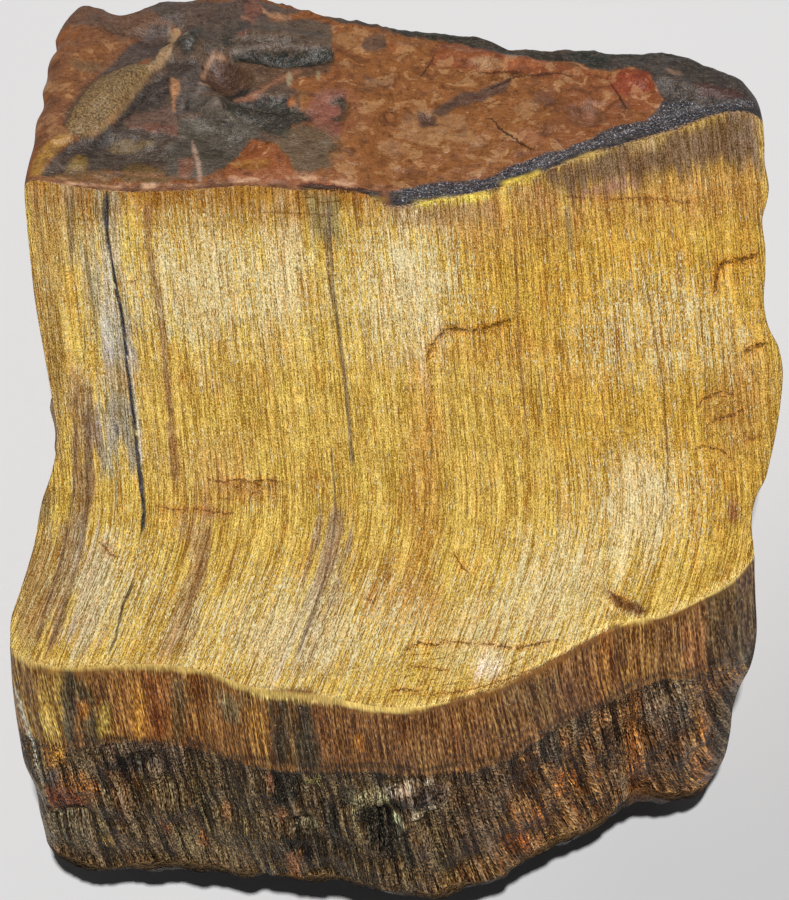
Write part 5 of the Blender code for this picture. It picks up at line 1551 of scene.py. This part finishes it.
def all_faces(count, rows, knots):
    """The faces between so many loops and over both ends, with their materials and their flat map."""
    at_u, at_v = unwrap(rows)
    sides = material_row(rows)
    faces, kinds, flat = [], [], []
    for side, column, first_knot in ((-1.0, 0, count * rows), (1.0, count - 1, count * rows + END_KNOTS)):
        for face in end_faces(column * rows, first_knot, knots[side > 0], side):
            faces.append(face)
            kinds.append(sides)
            flat.extend(end_flat(face, rows, column, float(side > 0), at_u, at_v))
    body = range(END_RINGS, END_RINGS + COLUMNS - 1)
    for column in range(count - 1):
        a = column * rows
        for row in range(rows):
            above = (row + 1) % rows
            faces.append((a + row, a + above, a + rows + above, a + rows + row))
            kinds.append(material_row(row) if column in body else sides)
            left, right, low, high = at_u[column], at_u[column + 1], at_v[row], at_v[row + 1]
            flat.extend(((left, low), (left, high), (right, high), (right, low)))
    return faces, kinds, flat


def stone_mesh():
    """The closed mesh with its attributes, its flat map and its four materials."""
    loops, lines, knots, values = mesh_loops()
    faces, kinds, flat = all_faces(len(loops), len(loops[0]), knots)
    points = (np.concatenate([*loops, *lines]) + (SHIFT_X, SHIFT_Y, 0.0)) * MM
    mesh = bpy.data.meshes.new("rough_stone")
    mesh.from_pydata(points.tolist(), [], faces)
    mesh.shade_smooth()
    for name, value in values.items():
        attribute = mesh.attributes.new(name, "FLOAT_VECTOR", "POINT")
        attribute.data.foreach_set("vector", value.astype(np.float32).ravel())
    mesh.polygons.foreach_set("material_index", kinds)
    layer = mesh.uv_layers.new(name="OFBake")
    layer.uv.foreach_set("vector", np.array(flat, np.float32).ravel())
    return mesh


# -- materials --------------------------------------------------------------------------------------------


class Nodes:
    """Builds the node tree of one material."""

    def __init__(self, name):
        self.material = bpy.data.materials.new(name)
        self.material.use_nodes = True
        self.tree = self.material.node_tree
        self.shader = self.tree.nodes["Principled BSDF"]

    def add(self, kind, **settings):
        node = self.tree.nodes.new(kind)
        for name, value in settings.items():
            setattr(node, name, value)
        return node

    def feed(self, socket, value):
        """Links a socket to another node's output, or sets it to a number, a vector or a colour."""
        if isinstance(value, bpy.types.NodeSocket):
            self.tree.links.new(value, socket)
        elif isinstance(value, tuple) and socket.type == "RGBA":
            socket.default_value = (*value, 1.0)
        else:
            socket.default_value = value

    def kept(self, name):
        """The three numbers that each vertex keeps under a name."""
        return self.add("ShaderNodeAttribute", attribute_name=name).outputs["Vector"]

    def parts(self, vector):
        """The three numbers of a vector."""
        node = self.add("ShaderNodeSeparateXYZ")
        self.feed(node.inputs[0], vector)
        return node.outputs[0], node.outputs[1], node.outputs[2]

    def vector(self, operation, a, b):
        """Vector arithmetic."""
        node = self.add("ShaderNodeVectorMath", operation=operation)
        self.feed(node.inputs[0], a)
        self.feed(node.inputs[1], b)
        return node.outputs[0]

    def sum(self, operation, a, b=None, c=None):
        """Arithmetic."""
        node = self.add("ShaderNodeMath", operation=operation)
        for socket, value in zip(node.inputs, (a, b, c)):
            if value is not None:
                self.feed(socket, value)
        return node.outputs[0]

    def times(self, a, b):
        return self.sum("MULTIPLY", a, b)

    def grain(self, place, scales, detail=2.0, roughness=0.5, distortion=0.0):
        """Noise around a half at a place, with its own scale on each axis."""
        node = self.add("ShaderNodeTexNoise")
        self.feed(node.inputs["Vector"], self.vector("MULTIPLY", place, scales))
        self.feed(node.inputs["Scale"], 1.0)
        self.feed(node.inputs["Detail"], detail)
        self.feed(node.inputs["Roughness"], roughness)
        self.feed(node.inputs["Distortion"], distortion)
        return node.outputs["Fac"]

    def off_middle(self, place, noise_size):
        """How far a noise is from a half: thin winding lines where this is near 0."""
        return self.sum("ABSOLUTE", self.sum("SUBTRACT", self.grain(place, *noise_size), 0.5))

    def cells(self, place, scales):
        """Distance to the nearest of some scattered points."""
        node = self.add("ShaderNodeTexVoronoi", feature="F1")
        self.feed(node.inputs["Vector"], self.vector("MULTIPLY", place, scales))
        self.feed(node.inputs["Scale"], 1.0)
        return node.outputs["Distance"]

    def layers(self, place, sizes):
        """Noises of several sizes added up around 0: each one's scales, weight and detail."""
        total = 0.0
        for scales, weight, detail in sizes:
            field = self.grain(place, scales, detail, LAYER_ROUGHNESS)
            total = self.sum("ADD", self.sum("MULTIPLY_ADD", field, weight, -weight / 2), total)
        return total

    def step(self, value, start, end, low=0.0, high=1.0):
        """A smooth step from low at start to high at end."""
        if start > end:
            start, end, low, high = end, start, high, low
        node = self.add("ShaderNodeMapRange", interpolation_type="SMOOTHSTEP")
        names = ("Value", "From Min", "From Max", "To Min", "To Max")
        for name, number in zip(names, (value, start, end, low, high)):
            self.feed(node.inputs[name], number)
        return node.outputs[0]

    def mix(self, share, a, b, blend_type="MIX"):
        """Two colours mixed."""
        node = self.add("ShaderNodeMix", data_type="RGBA", blend_type=blend_type)
        self.feed(node.inputs[0], share)
        self.feed(node.inputs[6], a)
        self.feed(node.inputs[7], b)
        return node.outputs[2]

    def tinted(self, colour, factor, share=1.0):
        """A colour times a factor."""
        return self.mix(share, colour, factor, "MULTIPLY")

    def toned(self, colour, tone, shade, light, at):
        """A colour shaded where the tone is low and lit where it is high."""
        neutral, low, high = at
        shaded = self.mix(self.step(tone, neutral, low), colour, self.tinted(colour, shade))
        return self.mix(self.step(tone, neutral, high), shaded, self.tinted(colour, light))

    def bumps(self, height, depth, below=None):
        """A normal raised by a height from 0 to 1, so many metres deep."""
        node = self.add("ShaderNodeBump")
        self.feed(node.inputs["Height"], height)
        self.feed(node.inputs["Distance"], depth)
        if below is not None:
            self.feed(node.inputs["Normal"], below)
        return node.outputs[0]

    def finish(self, colour, gloss, normal, specular, anisotropic=0.0):
        """Sets the shader. A silky surface shines across the flow of its fibres."""
        self.feed(self.shader.inputs["Base Color"], colour)
        self.feed(self.shader.inputs["Roughness"], gloss)
        self.feed(self.shader.inputs["Normal"], normal)
        self.shader.inputs["Specular IOR Level"].default_value = specular
        if anisotropic:
            self.shader.inputs["Anisotropic"].default_value = anisotropic
            self.feed(self.shader.inputs["Tangent"], self.kept("flow"))
        return self.material


def line_mask(n, name, wiggle, reach, spread=1.0):
    """1 on the lines of one kind, this many times their width, whose edges a noise pushes about."""
    offset, half_width, strength = n.parts(n.kept(name))
    pushed = n.sum("ADD", offset, n.times(n.sum("SUBTRACT", wiggle, 0.5), reach))
    share = n.sum("DIVIDE", n.sum("ABSOLUTE", pushed), half_width)
    return n.times(n.step(share, 1.5 * spread, 0.5 * spread), strength)


def streaked(n, fibre):
    """The painted colour with its thin streaks, broken into dashes here and there."""
    streak = line_mask(n, "streak", n.grain(fibre, *STREAK_WIGGLE), STREAK_REACH)
    streak = n.times(streak, n.step(n.grain(fibre, *STREAK_GAPS), *STREAK_SHOWS))
    return n.mix(streak, n.kept("tint"), n.kept("ink"))


def golden_colour(n, fibre, tone, sparks):
    """Orange and yellow strands, shaded and lit fibres, pale glints painted as the silk's highlights, dark
    threads and brown specks.
    """
    tint = streaked(n, fibre)
    hue = n.grain(fibre, *GOLD_HUE)
    colour = n.mix(n.step(hue, *ORANGE_AT), tint, n.tinted(tint, GOLD_ORANGE, 0.6))
    colour = n.mix(n.step(hue, *YELLOW_AT), colour, n.tinted(tint, GOLD_YELLOW))
    colour = n.toned(colour, tone, GOLD_SHADE, GOLD_LIGHT, GOLD_TONE)
    _, _, painted_sheen = n.parts(n.kept("zone"))
    # Painted glints, thickest where the painted sheen gathers.
    painted_glint = n.step(n.sum("MULTIPLY_ADD", painted_sheen, 1.1, sparks), *PAINTED_GLINT_AT)
    painted_glint = n.times(painted_glint, n.step(n.parts(tint)[0], *PAINTED_GLINT_BY_RED))
    colour = n.mix(painted_glint, colour, rgb3(*PAINTED_GLINT))
    threads = n.step(n.grain(fibre, *GOLD_THREADS), *THREADS_AT)
    colour = n.mix(n.times(threads, 0.6), colour, n.tinted(tint, GOLD_SHADE))
    specks = n.step(n.grain(fibre, *GOLD_SPECKS), *SPECKS_AT)
    return n.mix(n.times(specks, 0.65), colour, rgb3(*GOLD_SPECK))


def golden_fibres():
    """The silky golden face, with broken cracks and painted shadow lines under broken steps, edged with
    painted orange shade.
    """
    n = Nodes("golden_fibres")
    fibre = n.kept("fibre")
    tone = n.layers(fibre, GOLD_LAYERS)
    sparks = n.layers(n.vector("ADD", fibre, PAINTED_GLINT_SHIFT), PAINTED_GLINT_LAYERS)
    colour = golden_colour(n, fibre, tone, sparks)
    jag = n.grain(fibre, *CRACK_JAG)
    crack = line_mask(n, "crack", jag, CRACK_REACH)
    crack = n.times(crack, n.step(n.grain(fibre, *CRACK_GAPS), *CRACK_SHOWS))
    # Painted orange shade along the edges of the cracks.
    shade_fringe = n.times(line_mask(n, "crack", jag, SHADE_FRINGE_REACH, SHADE_FRINGE_SPREAD), SHADE_FRINGE_SHARE)
    colour = n.mix(shade_fringe, colour, n.tinted(colour, GOLD_ORANGE))
    # Cracks, and painted shadow lines under broken steps.
    colour = n.mix(crack, colour, rgb3(*GOLD_CRACK_AND_STEP_SHADE))
    normal = n.bumps(n.sum("ADD", tone, sparks), GOLD_BUMP)
    normal = n.bumps(n.times(crack, -1.0), GOLD_CRACK_BUMP, normal)
    return n.finish(colour, n.step(tone, -1.0, 1.0, *GOLD_GLOSS), normal, 0.4, 0.7)


def dark_band():
    """The band: gold and red strands above, and below them dark rubble with painted shade in its pits, and
    pale chips and sparkles painted as highlights.
    """
    n = Nodes("dark_band")
    fibre, tint = n.kept("fibre"), n.kept("tint")
    below, above, _ = n.parts(n.kept("zone"))
    ragged = n.grain(fibre, *BAND_RAG)
    rough = n.step(n.sum("ADD", below, ragged), *BAND_ROUGH_AT)
    tone = n.layers(fibre, BAND_LAYERS)
    rubble = n.layers(n.vector("ADD", fibre, RUBBLE_SHIFT), RUBBLE_LAYERS)
    hue = n.grain(fibre, *BAND_HUE)
    colour = n.mix(n.step(hue, *BAND_GOLD_AT), tint, n.tinted(tint, BAND_GOLD))
    colour = n.mix(n.step(hue, *BAND_RED_AT), colour, n.tinted(tint, BAND_RED))
    colour = n.toned(colour, tone, BAND_SHADE, BAND_LIGHT, BAND_TONE)
    # Painted shade in the low parts of the rubble.
    pit_shade = n.times(n.step(rubble, *PIT_SHADE_AT), rough)
    colour = n.mix(n.times(pit_shade, 0.9), colour, n.tinted(colour, BAND_PAINTED_PIT_SHADE))
    # Painted highlights on the high parts of the rubble.
    chip_highlights = n.times(n.step(rubble, *CHIP_HIGHLIGHT_AT), rough)
    colour = n.mix(n.times(chip_highlights, 0.8), colour, n.mix(0.4, tint, rgb3(*BAND_PAINTED_HIGHLIGHT)))
    # Painted glints on the band.
    band_glint = n.step(n.grain(fibre, *BAND_GLINTS), *BAND_GLINT_AT)
    colour = n.mix(n.times(band_glint, 0.6), colour, rgb3(*BAND_PAINTED_HIGHLIGHT))
    edge = n.step(n.sum("ADD", above, n.times(ragged, 0.4)), *CREASE_EDGE_AT)
    colour = n.mix(edge, colour, tint)
    colour = n.mix(line_mask(n, "crack", ragged, CRACK_REACH), colour, rgb3(*BAND_CRACK))
    normal = n.bumps(n.times(rubble, rough), RUBBLE_BUMP, n.bumps(tone, BAND_BUMP))
    return n.finish(colour, n.step(rubble, -1.0, 1.0, *BAND_GLOSS), normal, 0.3, 0.4)


def rock_colour(n, place, tint, tone, blotches):
    """Jasper mottled with tan, darker blotches, thin veins and pale seams, sand on the leaf, and pale needles
    painted on the blue-black edge as its glitter."""
    jasper, leaf, glitter = n.parts(n.kept("zone"))
    flecks = n.grain(place, *ROCK_FLECKS)
    deep = n.tinted(tint, ROCK_DEEP)
    mottle = n.sum("MAXIMUM", n.step(blotches, *BLOTCHES_AT), n.step(flecks, *FLECKS_AT))
    colour = n.mix(n.times(mottle, jasper), tint, n.mix(0.36, tint, rgb3(*ROCK_TAN)))
    colour = n.mix(n.step(blotches, *DEEP_BLOTCHES_AT), colour, deep)
    colour = n.mix(n.step(flecks, *DEEP_FLECKS_AT), colour, deep)
    shade = n.tinted(colour, ROCK_SHADE)
    colour = n.toned(colour, tone, ROCK_SHADE, ROCK_LIGHT, ROCK_TONE)
    colour = n.mix(n.step(n.off_middle(place, ROCK_VEINS), *VEINS_AT), colour, shade)
    seam = n.times(n.step(n.off_middle(place, ROCK_SEAMS), *SEAMS_AT), n.sum("SUBTRACT", 1.0, jasper))
    colour = n.mix(n.times(seam, 0.5), colour, n.mix(0.5, tint, rgb3(*ROCK_SEAM)))
    grains = n.step(n.cells(place, ROCK_GRAINS), *GRAINS_AT)
    colour = n.mix(grains, colour, n.mix(0.5, tint, rgb3(*ROCK_CREAM)))
    sand = n.grain(place, *LEAF_SAND)
    colour = n.mix(n.times(n.step(sand, *DARK_SAND_AT), leaf), colour, shade)
    colour = n.mix(n.times(n.step(sand, *PALE_SAND_AT), leaf), colour, n.mix(0.5, tint, rgb3(*ROCK_TAN)))
    # Pale needles painted as glitter on the blue-black edge.
    glitter_glints = n.times(n.step(n.grain(place, *EDGE_NEEDLES), *NEEDLES_AT), glitter)
    return n.mix(glitter_glints, colour, rgb3(*ROCK_GLITTER_GLINT))


def wall_rock():
    """The cap of wall rock and the narrow edge where the fibres start."""
    n = Nodes("wall_rock")
    place = n.kept("fibre")
    tone = n.layers(place, ROCK_LAYERS)
    blotches = n.grain(place, *ROCK_BLOTCHES)
    colour = rock_colour(n, place, n.kept("tint"), tone, blotches)
    crack = line_mask(n, "crack", n.grain(place, *ROCK_JAG), ROCK_CRACK_REACH)
    colour = n.mix(crack, colour, rgb3(*ROCK_CRACK))
    normal = n.bumps(n.sum("ADD", tone, n.times(blotches, 4.0)), ROCK_BUMP)
    normal = n.bumps(n.times(crack, -1.0), ROCK_CRACK_BUMP, normal)
    return n.finish(colour, n.step(blotches, 0.4, 0.6, *ROCK_GLOSS), normal, 0.3)


def broken_sides():
    """The sides, back and sole: broken across the layers, so fibres in the middle and rock behind them."""
    n = Nodes("broken_sides")
    place, tint = n.kept("fibre"), n.kept("tint")
    fibrous, _, _ = n.parts(n.kept("zone"))
    rubble = n.layers(place, SIDE_RUBBLE)
    tone = n.times(n.layers(place, SIDE_LAYERS), fibrous)
    tone = n.sum("ADD", tone, n.times(rubble, n.step(fibrous, *SIDE_RUBBLE_AT)))
    colour = n.toned(tint, tone, SIDE_SHADE, SIDE_LIGHT, SIDE_TONE)
    flecks = n.step(n.grain(place, *SIDE_FLECKS), *SIDE_FLECKS_AT)
    flecks = n.times(flecks, n.sum("SUBTRACT", 1.0, fibrous))
    colour = n.mix(n.times(flecks, 0.4), colour, rgb3(*ROCK_TAN))
    normal = n.bumps(rubble, SIDE_RUBBLE_BUMP, n.bumps(tone, SIDE_BUMP))
    return n.finish(colour, n.step(tone, -1.0, 1.0, *SIDE_GLOSS), normal, 0.25)


# -- floor, lights and camera -----------------------------------------------------------------------------


def make_floor():
    """Pale paper with painted shade that makes it a little darker to the lower right of the stone."""
    bpy.ops.mesh.primitive_plane_add(size=FLOOR_SIZE, location=(0.0, 0.0, FLOOR_Z))
    floor = bpy.context.object
    floor.name = "floor"
    n = Nodes("pale_paper")
    across, away, _ = n.parts(n.add("ShaderNodeTexCoord").outputs["Object"])
    # Painted shade towards the lower right.
    corner = n.step(n.sum("SUBTRACT", across, away), *FLOOR_SHADE)
    n.feed(n.shader.inputs["Base Color"], n.mix(corner, rgb3(*FLOOR_PALE), rgb3(*FLOOR_PAINTED_SHADE)))
    n.shader.inputs["Roughness"].default_value = FLOOR_ROUGHNESS
    floor.data.materials.append(n.material)


def make_light(name, place, size, power, colour):
    data = bpy.data.lights.new(name, "AREA")
    data.shape = "DISK"
    data.size = size
    data.energy = power
    data.color = colour
    light = bpy.data.objects.new(name, data)
    light.location = place
    light.rotation_euler = (Vector(LIGHT_AIM) - Vector(place)).to_track_quat("-Z", "Y").to_euler()
    bpy.context.scene.collection.objects.link(light)


def make_world():
    world = bpy.data.worlds.new("studio")
    world.use_nodes = True
    ground = world.node_tree.nodes["Background"]
    ground.inputs["Color"].default_value = (*SKY_COLOUR, 1.0)
    ground.inputs["Strength"].default_value = SKY_STRENGTH
    bpy.context.scene.world = world


def make_camera():
    """The camera looks square at the golden face, along its frame's own w axis."""
    data = bpy.data.cameras.new("camera")
    data.lens, data.sensor_width = CAMERA_LENS, CAMERA_SENSOR
    data.clip_start, data.clip_end = CAMERA_CLIP
    camera = bpy.data.objects.new("camera", data)
    lean = np.radians(LEAN_DEG)
    camera.location = (
        SHIFT_X * MM,
        (SHIFT_Y - CAMERA_DISTANCE * np.sin(lean)) * MM,
        (FACE_HEIGHT + CAMERA_DISTANCE * np.cos(lean)) * MM,
    )
    camera.rotation_euler = (lean, 0.0, 0.0)
    bpy.context.scene.collection.objects.link(camera)
    bpy.context.scene.camera = camera


def make_stone():
    """The one piece, which stands for the CAD node."""
    stone = bpy.data.objects.new("rough_stone", stone_mesh())
    bpy.context.scene.collection.objects.link(stone)
    for material in (wall_rock(), golden_fibres(), dark_band(), broken_sides()):
        stone.data.materials.append(material)
    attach(stone, "root")
    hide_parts("tigers_eye")


def main():
    make_stone()
    make_floor()
    for light in LIGHTS:
        make_light(*light)
    make_world()
    make_camera()
    bpy.context.scene.view_settings.view_transform = "Standard"


main()
